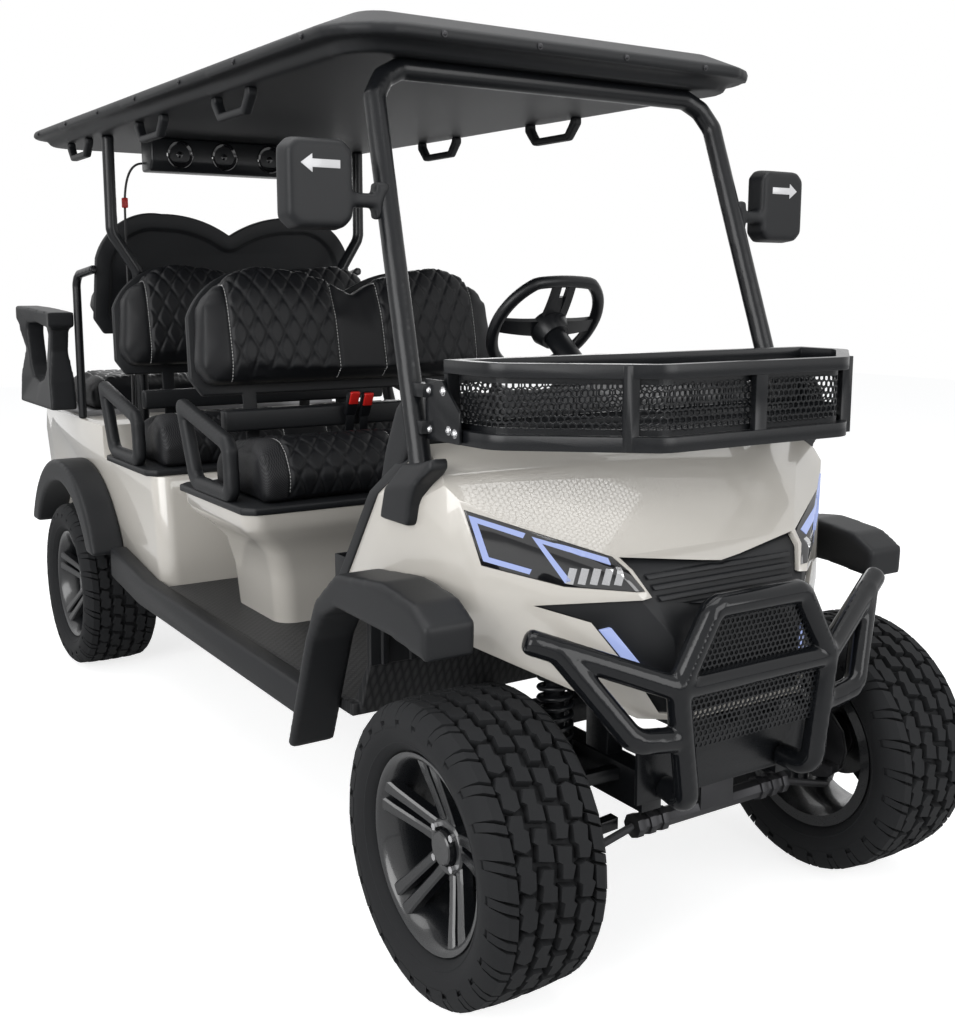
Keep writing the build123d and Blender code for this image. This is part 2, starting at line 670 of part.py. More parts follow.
def front_prism(outline, grow=0.0):
    """Front-view outline of (half width, Z) points on the driver's side, run through the front body."""
    with BuildPart() as prism:
        with BuildSketch(Plane.YZ.offset(station(-160))):
            with BuildLine():
                Polyline(*outline, close=True)
            make_face()
            if grow:
                offset(amount=grow, kind=Kind.INTERSECTION)
        extrude(amount=450)
    return prism.part


LAMP_OUTLINE = [(492, 930), (466, 823), (341, 785), (212, 776), (250, 838)]
GRILLE_OUTLINE = [
    (0, 808),
    (236, 836),
    (200, 764),
    (386, 746),
    (300, 716),
    (226, 600),
    (196, 540),
    (0, 540),
]
MARKER_OUTLINE = [(284, 700), (268, 706), (192, 588), (208, 582)]
GRILLE_RECESS = 10.0
GRILLE_THICKNESS = 14.0
GRILLE_SLATS = 4
SLAT_HEIGHT = 9.0
LAMP_DEPTH = 26.0
RIB_FIELD = [(0, 800), (205, 822), (178, 752), (0, 728)]
RIB_LOW_Z = 738.0
RIB_PITCH = 20.0

outer_form = cowl_form(0)
shell_core = cowl_form(COWL_WALL)
lamp_prism = front_prism(LAMP_OUTLINE)
grille_prism = front_prism(GRILLE_OUTLINE)

with BuildPart() as front_cowl:
    add(outer_form)
    add(shell_core, mode=Mode.SUBTRACT)
    with BuildSketch(Plane.XZ):
        with BuildLine():
            Polyline(
                (station(trim_x(1200)), 1200),
                (station(trim_x(200)), 200),
                (station(-1200), 200),
                (station(-1200), 1200),
                close=True,
            )
        make_face()
    extrude(amount=2 * COWL_HALF_WIDTH, both=True, mode=Mode.SUBTRACT)
    with BuildSketch(Plane.YZ):
        with BuildLine():
            Polyline(
                (-COWL_HALF_WIDTH - 20, 200),
                (COWL_HALF_WIDTH + 20, 200),
                *reversed(COWL_LOW_EDGE),
                *[(-y, z) for y, z in COWL_LOW_EDGE[1:]],
                close=True,
            )
        make_face()
    extrude(amount=OVERALL_LENGTH, both=True, mode=Mode.SUBTRACT)
    for outline in (LAMP_OUTLINE, GRILLE_OUTLINE):
        cutter = front_prism(outline, SEAT_GAP)
        add(cutter, mode=Mode.SUBTRACT)
        add(mirror(cutter, about=Plane.XZ), mode=Mode.SUBTRACT)
with BuildPart() as headlamps:
    add(outer_form)
    add(cowl_form(LAMP_DEPTH), mode=Mode.SUBTRACT)
    add(lamp_prism, mode=Mode.INTERSECT)
    mirror(about=Plane.XZ)
write(headlamps.part, "headlamps")

with BuildPart() as grille_panel:
    add(cowl_form(GRILLE_RECESS))
    add(cowl_form(GRILLE_RECESS + GRILLE_THICKNESS), mode=Mode.SUBTRACT)
    add(grille_prism, mode=Mode.INTERSECT)
    with BuildPart(mode=Mode.PRIVATE) as ribs:
        add(cowl_form(2))
        add(cowl_form(GRILLE_RECESS + 2), mode=Mode.SUBTRACT)
        add(front_prism(RIB_FIELD), mode=Mode.INTERSECT)
        with BuildPart(mode=Mode.INTERSECT):
            for rib in range(GRILLE_SLATS):
                with Locations((station(100), 0, RIB_LOW_Z + rib * RIB_PITCH)):
                    Box(500, 1000, SLAT_HEIGHT)
    add(ribs.part)
    mirror(about=Plane.XZ)
write(grille_panel.part, "grille_panel")

with BuildPart() as marker_lamps:
    add(cowl_form(3))
    add(cowl_form(GRILLE_RECESS - SEAT_GAP), mode=Mode.SUBTRACT)
    add(front_prism(MARKER_OUTLINE), mode=Mode.INTERSECT)
    mirror(about=Plane.XZ)
write(marker_lamps.part, "marker_lamps")

# Bull bar with its screen and skid plate
BAR_DIAMETER = 42.0
BAR_AHEAD = 236.0
BAR_JUNCTION = (203, 607)
BAR_TOP = (118, 752)
BAR_FOOT = (170, 372)
ARM_END = (130, 474, 716)
STAY_START = (150, 424, 700)
STAY_BEND = (BAR_AHEAD - 6, 300, 520)
STAY_END = (BAR_AHEAD - 2, 190, 505)
SCREEN_THICKNESS = 3.0
SCREEN_LOW = (178, 482)
SKID_TOP_Z = 470.0
SKID_LOW_Z = 352.0
SKID_THICKNESS = 8.0
BAR_BEND = 60.0


def bull_bar_form(diameter):
    """Closed front loop, its cross bar, and an upper arm and a lower stay on each side."""
    loop = [
        (RAIL_FRONT_X + 8, BAR_FOOT[0] - 10, BAR_FOOT[1] + 6),
        (station(BAR_AHEAD), BAR_FOOT[0], BAR_FOOT[1]),
        (station(BAR_AHEAD), BAR_JUNCTION[0], BAR_JUNCTION[1]),
        (station(BAR_AHEAD), BAR_TOP[0], BAR_TOP[1]),
    ]
    mirrored = [(x, -y, z) for x, y, z in reversed(loop)]
    left_end = (station(BAR_AHEAD), BAR_JUNCTION[0], BAR_JUNCTION[1])
    right_end = (station(BAR_AHEAD), -BAR_JUNCTION[0], BAR_JUNCTION[1])
    with BuildPart() as form:
        add(bent_tube(loop + mirrored, BAR_BEND / 2, diameter))
        add(straight_tube(right_end, left_end, diameter))
        for side, junction in ((-1, right_end), (1, left_end)):
            arm_end = (station(ARM_END[0]), side * ARM_END[1], ARM_END[2])
            add(straight_tube(junction, arm_end, diameter))
            stay = [(station(a), side * y, z) for a, y, z in (STAY_START, STAY_BEND, STAY_END)]
            add(bent_tube(stay, BAR_BEND, diameter))
    return form.part


write(bull_bar_form(BAR_DIAMETER), "bull_bar")
bar_clearance = bull_bar_form(BAR_DIAMETER + 2 * SEAT_GAP)

with BuildPart() as bar_screens:
    with BuildSketch(Plane.YZ.offset(station(BAR_AHEAD) - SCREEN_THICKNESS / 2)):
        with BuildLine():
            Polyline(*face_halves([SCREEN_LOW, BAR_JUNCTION, BAR_TOP]), close=True)
        make_face()
    extrude(amount=SCREEN_THICKNESS)
    add(bar_clearance, mode=Mode.SUBTRACT)
screen_panes = [pane for pane in bar_screens.part.solids() if abs(pane.center().Y) < 30]
write(Compound(children=screen_panes), "bar_screens")

with BuildPart() as skid_plate:
    with Locations(
        (RAIL_FRONT_X + SEAT_GAP + SKID_THICKNESS / 2, 0, (SKID_TOP_Z + SKID_LOW_Z) / 2)
    ):
        Box(SKID_THICKNESS, 2 * (RAIL_OUTER_Y + 20), SKID_TOP_Z - SKID_LOW_Z)
    add(bar_clearance, mode=Mode.SUBTRACT)
write(skid_plate.part, "skid_plate")

# Front hoop that carries the canopy, with its boots on the cowl
HOOP_DIAMETER = 40.0
HOOP_FOOT = (-172, 512, 960)
HOOP_CORNER = (-452, 470)
HOOP_BEND = 100.0
CANOPY_FRONT_AHEAD = -335.0
CANOPY_LENGTH = 2650.0
CANOPY_HALF_WIDTH = 588.0
CANOPY_FRONT_Z = 1847.0
CANOPY_RISE_DEG = 0.9
CANOPY_LIP = 26.0
CANOPY_CROWN = 40.0
LINER_INSET = 55.0
LINER_DROP = 24.0
CANOPY_CORNER = 150.0


def liner_z(ahead):
    """Height of the canopy's underside at a place ahead of the front axle."""
    return CANOPY_FRONT_Z - LINER_DROP + (CANOPY_FRONT_AHEAD - ahead) * tan(radians(CANOPY_RISE_DEG))


rise = radians(CANOPY_RISE_DEG)
canopy_plane = Plane(
    origin=(station(CANOPY_FRONT_AHEAD), 0, CANOPY_FRONT_Z),
    x_dir=(cos(rise), 0, -sin(rise)),
    z_dir=(sin(rise), 0, cos(rise)),
)
with BuildPart() as canopy:
    with BuildSketch(canopy_plane):
        with Locations((-CANOPY_LENGTH / 2, 0)):
            RectangleRounded(CANOPY_LENGTH, 2 * CANOPY_HALF_WIDTH, CANOPY_CORNER)
    extrude(amount=CANOPY_LIP)
    with BuildSketch(canopy_plane.offset(CANOPY_LIP)):
        with Locations((-CANOPY_LENGTH / 2, 0)):
            RectangleRounded(CANOPY_LENGTH - 10, 2 * CANOPY_HALF_WIDTH - 10, CANOPY_CORNER)
    extrude(amount=CANOPY_CROWN, taper=68)
    with BuildSketch(canopy_plane):
        with Locations((-CANOPY_LENGTH / 2, 0)):
            RectangleRounded(
                CANOPY_LENGTH - 2 * LINER_INSET,
                2 * (CANOPY_HALF_WIDTH - LINER_INSET),
                CANOPY_CORNER - LINER_INSET,
            )
    extrude(amount=-LINER_DROP)
write(canopy.part, "canopy")

with BuildPart() as above_liner:
    with BuildSketch(canopy_plane.offset(-LINER_DROP - SEAT_GAP)):
        with Locations((-CANOPY_LENGTH / 2, 0)):
            Rectangle(2 * CANOPY_LENGTH, 4 * CANOPY_HALF_WIDTH)
    extrude(amount=400)

hoop_corner_z = liner_z(HOOP_CORNER[0]) - HOOP_DIAMETER / 2 - 2 * SEAT_GAP
with BuildPart() as front_hoop:
    hoop_half = [
        (station(HOOP_FOOT[0]), HOOP_FOOT[1], HOOP_FOOT[2]),
        (station(HOOP_CORNER[0]), HOOP_CORNER[1], hoop_corner_z),
    ]
    hoop_other = [(x, -y, z) for x, y, z in reversed(hoop_half)]
    add(bent_tube(hoop_half + hoop_other, HOOP_BEND, HOOP_DIAMETER))
write(front_hoop.part, "front_hoop")

pillar_clearance = straight_tube(hoop_half[0], hoop_half[1], HOOP_DIAMETER + 2 * SEAT_GAP)
with BuildPart() as cowl_with_holes:
    add(front_cowl.part)
    add(pillar_clearance, mode=Mode.SUBTRACT)
    add(mirror(pillar_clearance, about=Plane.XZ), mode=Mode.SUBTRACT)
write(cowl_with_holes.part, "front_cowl")

REAR_HOOP_AHEAD = -2330.0
REAR_HOOP_TOP_Y = 470.0
REAR_HOOP_LOW_Y = 385.0
REAR_HOOP_BEND_HIGH_Z = 1535.0
REAR_HOOP_BEND_LOW_Z = 1400.0
REAR_DECK_Z = 880.0
FLIP_AXIS = (-3078, REAR_DECK_Z + 12)
FLIP_PIN_RADIUS = 6.0
FLIP_LUG_Y = (506.0, 522.0)
with BuildPart() as rear_hoop:
    rear_hoop_x = station(REAR_HOOP_AHEAD)
    for side in (-1, 1):
        post = [
            (rear_hoop_x, side * REAR_HOOP_LOW_Y, REAR_DECK_Z + SEAT_GAP),
            (rear_hoop_x, side * REAR_HOOP_LOW_Y, REAR_HOOP_BEND_LOW_Z),
            (rear_hoop_x, side * REAR_HOOP_TOP_Y, REAR_HOOP_BEND_HIGH_Z),
            (rear_hoop_x, side * REAR_HOOP_TOP_Y, liner_z(REAR_HOOP_AHEAD) + 10),
        ]
        add(bent_tube(post, 80, HOOP_DIAMETER))
    add(above_liner.part, mode=Mode.SUBTRACT)
write(rear_hoop.part, "rear_hoop")

# ahead of the front axle of each grip's middle
GRIP_STATIONS = (-1130, -1780, -2560)
GRIP_LENGTH = 250.0
GRIP_Y = 500.0
GRIP_DROP = 62.0
GRIP_THICKNESS = 18.0
GRIP_WIDTH = 24.0
with BuildPart() as roof_grips:
    for ahead in GRIP_STATIONS:
        high = liner_z(ahead) + 10
        low = liner_z(ahead) - GRIP_DROP
        half = GRIP_LENGTH / 2
        outline = [
            (station(ahead) - half, high),
            (station(ahead) - half, high - 30),
            (station(ahead) - half + 40, low),
            (station(ahead) + half - 40, low),
            (station(ahead) + half, high - 30),
            (station(ahead) + half, high),
            (station(ahead) + half - GRIP_WIDTH, high),
            (station(ahead) + half - GRIP_WIDTH, high - 22),
            (station(ahead) + half - 50, low + GRIP_THICKNESS),
            (station(ahead) - half + 50, low + GRIP_THICKNESS),
            (station(ahead) - half + GRIP_WIDTH, high - 22),
            (station(ahead) - half + GRIP_WIDTH, high),
        ]
        add(side_slab(outline, GRIP_Y - GRIP_WIDTH / 2, GRIP_Y + GRIP_WIDTH / 2))
    add(above_liner.part, mode=Mode.SUBTRACT)
    mirror(about=Plane.XZ)
write(roof_grips.part, "roof_grips")

SOUND_BAR_AHEAD = (-2262, -2372)
SOUND_BAR_HALF = 345.0
SOUND_BAR_HEIGHT = 112.0
sound_bar_mid = sum(SOUND_BAR_AHEAD) / 2
with BuildPart() as sound_bar:
    bar_high = liner_z(SOUND_BAR_AHEAD[1]) + 10
    bar_low = liner_z(sound_bar_mid) - SOUND_BAR_HEIGHT
    bar_depth = SOUND_BAR_AHEAD[0] - SOUND_BAR_AHEAD[1]
    with Locations((station(sound_bar_mid), 0, (bar_high + bar_low) / 2)):
        Box(bar_depth, 2 * SOUND_BAR_HALF, bar_high - bar_low)
    with BuildSketch(Plane.XZ):
        with BuildLine():
            Polyline(
                (station(SOUND_BAR_AHEAD[0]), bar_low),
                (station(SOUND_BAR_AHEAD[0]), bar_low + 30),
                (station(SOUND_BAR_AHEAD[0]) - 22, bar_low),
                close=True,
            )
        make_face()
    extrude(amount=SOUND_BAR_HALF, both=True, mode=Mode.SUBTRACT)
    add(above_liner.part, mode=Mode.SUBTRACT)
write(sound_bar.part, "sound_bar")

# Lead that hangs from the end of the sound bar to the rear deck
LEAD_DIAMETER = 8.0
LEAD_ROUTE = [
    # ahead of the front axle, Y, Z
    (-2366, -SOUND_BAR_HALF - SEAT_GAP, 1772),
    (-2368, -407, 1768),
    (-2372, -411, 1480),
    (-2386, -402, 1180),
    (-2392, -404, REAR_DECK_Z + SEAT_GAP),
]
with BuildPart() as speaker_lead:
    add(bent_tube([(station(a), y, z) for a, y, z in LEAD_ROUTE], 27, LEAD_DIAMETER, 8))
write(speaker_lead.part, "speaker_lead")

# Mirrors on the front hoop
MIRROR_Z = (1462, 1640)
MIRROR_Y = (566, 715)
MIRROR_AHEAD = (-392, -340)
MIRROR_CORNER = 22.0
MIRROR_ARM_Z = 1522.0


def hoop_centre(z):
    """Distance ahead and half width of the front hoop's centre line at height z."""
    share = (z - HOOP_FOOT[2]) / (hoop_corner_z - HOOP_FOOT[2])
    ahead = HOOP_FOOT[0] + share * (HOOP_CORNER[0] - HOOP_FOOT[0])
    return ahead, HOOP_FOOT[1] + share * (HOOP_CORNER[1] - HOOP_FOOT[1])


with BuildPart() as mirrors:
    arm_ahead, arm_y = hoop_centre(MIRROR_ARM_Z)
    with BuildSketch(Plane.YZ.offset(station(MIRROR_AHEAD[0]))):
        with Locations((sum(MIRROR_Y) / 2, sum(MIRROR_Z) / 2)):
            mirror_face = Rectangle(MIRROR_Y[1] - MIRROR_Y[0], MIRROR_Z[1] - MIRROR_Z[0])
        chamfer(mirror_face.vertices(), MIRROR_CORNER)
    extrude(amount=MIRROR_AHEAD[1] - MIRROR_AHEAD[0], taper=6)
    with Locations((station(arm_ahead), (arm_y + MIRROR_Y[0]) / 2 + 8, MIRROR_ARM_Z)):
        Box(30, MIRROR_Y[0] - arm_y + 16, 26)
    with Locations((station(arm_ahead), arm_y + 12, MIRROR_ARM_Z)):
        Box(34, 40, 74)
    add(pillar_clearance, mode=Mode.SUBTRACT)
    with Locations((station(arm_ahead), arm_y - 60, MIRROR_ARM_Z)):
        Box(160, 120, 200, mode=Mode.SUBTRACT)
    mirror(about=Plane.XZ)
write(mirrors.part, "mirrors")

with BuildPart() as pillar_boots:
    boot = [
        (station(-245), 1034),
        (station(-95), 1034),
        (station(-165), 880),
        (station(-292), 880),
    ]
    add(side_slab(boot, COWL_HALF_WIDTH + SEAT_GAP, COWL_HALF_WIDTH + 22))
    mirror(about=Plane.XZ)
write(pillar_boots.part, "pillar_boots")

# Basket in front of the hoop
BASKET_LOW_Z = 1052.0
BASKET_HIGH_Z = 1212.0
BASKET_REAR_AHEAD = -128.0
BASKET_RAIL = 26.0
BASKET_SHEET = 4.0
BASKET_PLAN = [
    # ahead of the front axle, half width
    (BASKET_REAR_AHEAD, 492),
    (20, 482),
    (150, 330),
    (228, 240),
]
BASKET_POSTS = [(228, 0), (190, 284), (BASKET_REAR_AHEAD + 12, 474)]
BASKET_CORNER = 70.0
BRACKET_AHEAD = (-186, -62)
BRACKET_Z = (1054, 1172)
CLAMP_Z = (1078, 1150)
CLAMP_HEIGHT = 26.0
BRACKET_THICKNESS = 6.0


def basket_ring(low, height, inset, width):
    """Band that follows the basket's plan, width wide, standing inset in from its outside."""
    with BuildPart() as ring:
        with BuildSketch(Plane.XY.offset(low)) as plan:
            with BuildLine():
                Polyline(*both_halves([(station(x), y) for x, y in BASKET_PLAN]), close=True)
            make_face()
            fillet(plan.vertices().filter_by_position(Axis.X, station(0), station(400)), BASKET_CORNER)
            if inset:
                offset(amount=-inset)
            offset(amount=-width, mode=Mode.SUBTRACT)
        extrude(amount=height)
    return ring.part


with BuildPart() as basket_frame:
    add(basket_ring(BASKET_LOW_Z, 28, 0, BASKET_RAIL))
    add(basket_ring(BASKET_HIGH_Z - 26, 26, 0, BASKET_RAIL))
    for ahead, half_width in BASKET_POSTS:
        for side in ((-1, 1) if half_width else (1,)):
            with Locations((station(ahead) - 9, side * half_width, (BASKET_LOW_Z + BASKET_HIGH_Z) / 2)):
                Box(14, 30, BASKET_HIGH_Z - BASKET_LOW_Z - 4)
write(basket_frame.part, "basket_frame")

with BuildPart() as basket_panels:
    add(
        basket_ring(
            BASKET_LOW_Z + 28 + SEAT_GAP,
            BASKET_HIGH_Z - BASKET_LOW_Z - 28 - 26 - 2 * SEAT_GAP,
            BASKET_RAIL - BASKET_SHEET - 2,
            BASKET_SHEET,
        )
    )
    with BuildSketch(Plane.XY.offset(BASKET_LOW_Z + 8)) as floor_plan:
        with BuildLine():
            Polyline(*both_halves([(station(x), y) for x, y in BASKET_PLAN]), close=True)
        make_face()
        fillet(floor_plan.vertices().filter_by_position(Axis.X, station(0), station(400)), BASKET_CORNER)
        offset(amount=-BASKET_RAIL - SEAT_GAP)
    extrude(amount=BASKET_SHEET)
    add(basket_frame.part, mode=Mode.SUBTRACT)
write(basket_panels.part, "basket_panels")

with BuildPart() as basket_brackets:
    plate_y = BASKET_PLAN[0][1] + SEAT_GAP
    plate = [
        (station(BRACKET_AHEAD[0]), BRACKET_Z[0]),
        (station(BRACKET_AHEAD[1]), BRACKET_Z[0]),
        (station(BRACKET_AHEAD[1]), BRACKET_Z[0] + 60),
        (station(BRACKET_AHEAD[0]) + 60, BRACKET_Z[1]),
        (station(BRACKET_AHEAD[0]), BRACKET_Z[1]),
    ]
    add(side_slab(plate, plate_y, plate_y + BRACKET_THICKNESS))
    for clamp_z in CLAMP_Z:
        clamp_ahead, clamp_y = hoop_centre(clamp_z)
        clamp_front = BRACKET_AHEAD[0] + 14
        clamp_length = clamp_front - clamp_ahead
        with Locations((station(clamp_front - clamp_length / 2), clamp_y - 4, clamp_z)):
            Box(clamp_length, HOOP_DIAMETER - 12, CLAMP_HEIGHT)
    add(pillar_clearance, mode=Mode.SUBTRACT)
    mirror(about=Plane.XZ)
write(basket_brackets.part, "basket_brackets")

# Dashboard, steering column and wheel
DASH_HALF_WIDTH = 505.0
DASH_GAP = 0.4
WHEEL_CENTRE = (-838, 268, 1252)
COLUMN_RAKE_DEG = 38.0
WHEEL_DIAMETER = 350.0
WHEEL_GRIP = 28.0
COLUMN_DIAMETER = 62.0
COLUMN_END_GAP = 0.5
HUB_DEPTH = 52.0
DASH_SIDE = [
    # ahead of the front axle, Z
    (trim_x(1028) - DASH_GAP, 1028),
    (trim_x(1028) - 60, 1085),
    (-560, 1128),
    (-618, 1105),
    (-606, 1010),
    (-540, 930),
    (-520, DASH_LOW_Z),
    (trim_x(DASH_LOW_Z) - DASH_GAP, DASH_LOW_Z),
]
rake = radians(COLUMN_RAKE_DEG)
wheel_centre = Vector(station(WHEEL_CENTRE[0]), WHEEL_CENTRE[1], WHEEL_CENTRE[2])
column_dir = Vector(-cos(rake), 0, sin(rake))
column_start = wheel_centre - column_dir * 330
column_end = wheel_centre - column_dir * (HUB_DEPTH + COLUMN_END_GAP)

with BuildPart() as steering_column:
    with BuildSketch(Plane(origin=column_start, z_dir=column_dir)):
        Circle(COLUMN_DIAMETER / 2)
    extrude(amount=(column_end - column_start).length)
write(steering_column.part, "steering_column")

with BuildPart() as dashboard:
    add(side_slab([(station(x), z) for x, z in DASH_SIDE], -DASH_HALF_WIDTH, DASH_HALF_WIDTH))
    with BuildSketch(Plane(origin=column_start - column_dir * 20, z_dir=column_dir)):
        Circle(COLUMN_DIAMETER / 2 + SEAT_GAP)
    extrude(amount=400, mode=Mode.SUBTRACT)
write(dashboard.part, "dashboard")

with BuildPart() as steering_wheel:
    wheel_plane = Plane(origin=wheel_centre, x_dir=(0, 1, 0), z_dir=column_dir)
    with BuildSketch(wheel_plane.offset(-WHEEL_GRIP / 2)):
        RegularPolygon(WHEEL_DIAMETER / 2, WHEEL_SIDES)
        RegularPolygon(WHEEL_DIAMETER / 2 - WHEEL_GRIP, WHEEL_SIDES, mode=Mode.SUBTRACT)
    ring = extrude(amount=WHEEL_GRIP)
    chamfer(ring.edges().filter_by(GeomType.LINE).filter_by(lambda e: e.length > 20), WHEEL_GRIP / 3.6)
    with BuildSketch(wheel_plane.offset(-HUB_DEPTH)):
        RegularPolygon(46, HUB_SIDES)
    extrude(amount=HUB_DEPTH - 4)
    with BuildSketch(wheel_plane.offset(-18)):
        for spoke_deg in (0, 180, 90):
            with Locations(Location((0, 0, 0), (0, 0, spoke_deg))):
                with Locations((WHEEL_DIAMETER / 4 - 3, 0)):
                    Rectangle(WHEEL_DIAMETER / 2 - WHEEL_GRIP - 8, 38)
    extrude(amount=12)
write(steering_wheel.part, "steering_wheel")

# Two pedals on the toe board
PEDAL_Y = (196.0, 330.0)
PEDAL_WIDTH = 78.0
PEDAL_SIDE = [
    # behind the toe board's face, Z
    (SEAT_GAP, 628),
    (SEAT_GAP, 652),
    (62, 640),
    (54, 668),
    (66, 672),
    (104, 560),
    (92, 556),
    (70, 618),
]
with BuildPart() as pedals:
    toe_face = station(TOE_AHEAD) - TOE_THICKNESS
    for pedal_y in PEDAL_Y:
        pedal = [(toe_face - back, z) for back, z in PEDAL_SIDE]
        add(side_slab(pedal, pedal_y - PEDAL_WIDTH / 2, pedal_y + PEDAL_WIDTH / 2))
write(pedals.part, "pedals")

# Seats
SEAT_HALF_WIDTH = 520.0
PAN_HALF_WIDTH = 556.0
PAN_LOW_Z = 770.0
PAN_THICKNESS = 20.0
CUSHION_HEIGHT = 150.0
BACK_THICKNESS = 100.0
SHELL_THICKNESS = 22.0
BACK_HEIGHT = 395.0
LOBE_Y = 255.0
NOTCH_DEPTH = 70.0
PAN_TOP_Z = PAN_LOW_Z + SEAT_GAP + PAN_THICKNESS

# name, front of cushion, rear of cushion, foot of the back, lean of the back in degrees, foot Z of the back
BENCHES = [
    ("front", -1010, -1418, -1392, 11.0, 1045),
    ("middle", -1790, -2146, -2118, 10.0, 1062),
]
PAN_TAIL = 98.0


def back_outline(half_width, height, inset=0.0):
    """Face of a bench back: two rounded lobes with a dip between them, drawn in by inset."""
    with BuildSketch() as face:
        with BuildLine():
            Polyline(
                (0, 0),
                (half_width - 40, 0),
                (half_width, 60),
                (half_width - 8, height * 0.62),
            )
            ThreePointArc(
                (half_width - 8, height * 0.62),
                (half_width - 92, height - 42),
                (LOBE_Y, height),
            )
            ThreePointArc(
                (LOBE_Y, height),
                (LOBE_Y / 2 + 10, height - 12),
                (0, height - NOTCH_DEPTH),
            )
            Line((0, height - NOTCH_DEPTH), (0, 0))
        make_face()
        mirror(about=Plane.YZ)
        if inset:
            offset(amount=-inset)
    return face.sketch


def back_plane(ahead, foot_z, lean_deg):
    """Plane of a bench back: its X runs across the vehicle and its Y up the back."""
    lean = radians(lean_deg)
    return Plane(origin=(station(ahead), 0, foot_z), x_dir=(0, 1, 0), z_dir=(cos(lean), 0, sin(lean)))


def bench_back(ahead, foot_z, lean_deg, front, depth, inset):
    """Slab of a bench back, starting this far behind the face of the back and running depth rearwards."""
    with BuildPart() as slab:
        with BuildSketch(back_plane(ahead, foot_z, lean_deg).offset(-front)):
            add(back_outline(SEAT_HALF_WIDTH, BACK_HEIGHT, inset))
        extrude(amount=-depth)
    return slab.part


for bench, front, rear, back_foot, lean, foot_z in BENCHES:
    cushion = [
        (station(front), PAN_TOP_Z + SEAT_GAP),
        (station(front) + 22, PAN_TOP_Z + 70),
        (station(front) - 20, PAN_TOP_Z + CUSHION_HEIGHT - 10),
        (station(front) - 110, PAN_TOP_Z + CUSHION_HEIGHT),
        (station(rear) + 30, PAN_TOP_Z + CUSHION_HEIGHT - 35),
        (station(rear), PAN_TOP_Z + CUSHION_HEIGHT - 60),
        (station(rear), PAN_TOP_Z + SEAT_GAP),
    ]
    write(side_slab(cushion, -SEAT_HALF_WIDTH, SEAT_HALF_WIDTH), f"{bench}_seat_cushion")
    write(bench_back(back_foot, foot_z, lean, 0, BACK_THICKNESS, 0), f"{bench}_seat_back")

SUPPORT_Y = (-330, 330)
SUPPORT_WIDTH = 44.0
SUPPORT_THICKNESS = 10.0
with BuildPart() as seat_shells:
    for bench, front, rear, back_foot, lean, foot_z in BENCHES:
        add(bench_back(back_foot, foot_z, lean, BACK_THICKNESS + SEAT_GAP, SHELL_THICKNESS, 14))
        plane = back_plane(back_foot, foot_z, lean).offset(-BACK_THICKNESS - SEAT_GAP)
        drop = (foot_z - PAN_TOP_Z - SEAT_GAP) / cos(radians(lean)) + 12
        for support_y in SUPPORT_Y:
            with BuildSketch(plane):
                with Locations((support_y, (120 - drop) / 2)):
                    Rectangle(SUPPORT_WIDTH, drop + 120)
            extrude(amount=-SUPPORT_THICKNESS)
        with BuildSketch(Plane.XY.offset(PAN_TOP_Z + SEAT_GAP)):
            with Locations((station(rear), 0)):
                Rectangle(900, 1200)
        extrude(amount=-300, mode=Mode.SUBTRACT)
write(seat_shells.part, "seat_shells")

ARMREST_TUBE = 34.0
ARMREST_Y = 524.0
ARMREST_LOOP = [
    # ahead of the bench's front edge, above the pan
    (-92, SEAT_GAP),
    (-104, 165),
    (-500, 248),
    (-385, SEAT_GAP),
]
ARMREST_CORNER = 26.0


def loop_band(outline, near_y, far_y, band, corner):
    """Closed band that follows a side-view outline inwards, with its corners cut off."""
    with BuildPart() as hoop:
        with BuildSketch(Plane.XZ.offset(-near_y)) as sketch:
            with BuildLine():
                Polyline(*outline, close=True)
            make_face()
            chamfer(sketch.vertices(), corner)
            offset(amount=-band, kind=Kind.INTERSECTION, mode=Mode.SUBTRACT)
        extrude(amount=-(far_y - near_y))
    return hoop.part


with BuildPart() as seat_armrests:
    for bench, front, rear, back_foot, lean, foot_z in BENCHES:
        loop = [(station(front + a), PAN_TOP_Z + z) for a, z in ARMREST_LOOP]
        add(loop_band(loop, ARMREST_Y, ARMREST_Y + 30, ARMREST_TUBE, ARMREST_CORNER))
    mirror(about=Plane.XZ)
write(seat_armrests.part, "seat_armrests")

with BuildPart() as seat_pans:
    for bench, front, rear, back_foot, lean, foot_z in BENCHES:
        pan_front, pan_rear = station(front) + 16, station(rear) - PAN_TAIL
        with BuildSketch(Plane.XY.offset(PAN_LOW_Z + SEAT_GAP)):
            with Locations(((pan_front + pan_rear) / 2, 0)):
                pan_face = Rectangle(pan_front - pan_rear, 2 * PAN_HALF_WIDTH)
            chamfer(pan_face.vertices(), 30)
        extrude(amount=PAN_THICKNESS)
write(seat_pans.part, "seat_pans")

# Pedestal under the front bench, hollow round the battery pack
PEDESTAL_WALL = 12.0
PEDESTAL_SECTIONS = [
    # Z, front ahead, rear ahead, half width
    (FLOOR_TOP_Z + SEAT_GAP, -1108, -1440, 415),
    (640, -1085, -1452, 440),
    (725, -1012, -1490, 535),
    (PAN_LOW_Z, -1000, -1500, 548),
]
PEDESTAL_CORNER = 50.0
BATTERY_AHEAD = (-1135, -1415)
BATTERY_HALF = 360.0
BATTERY_HEIGHT = 220.0


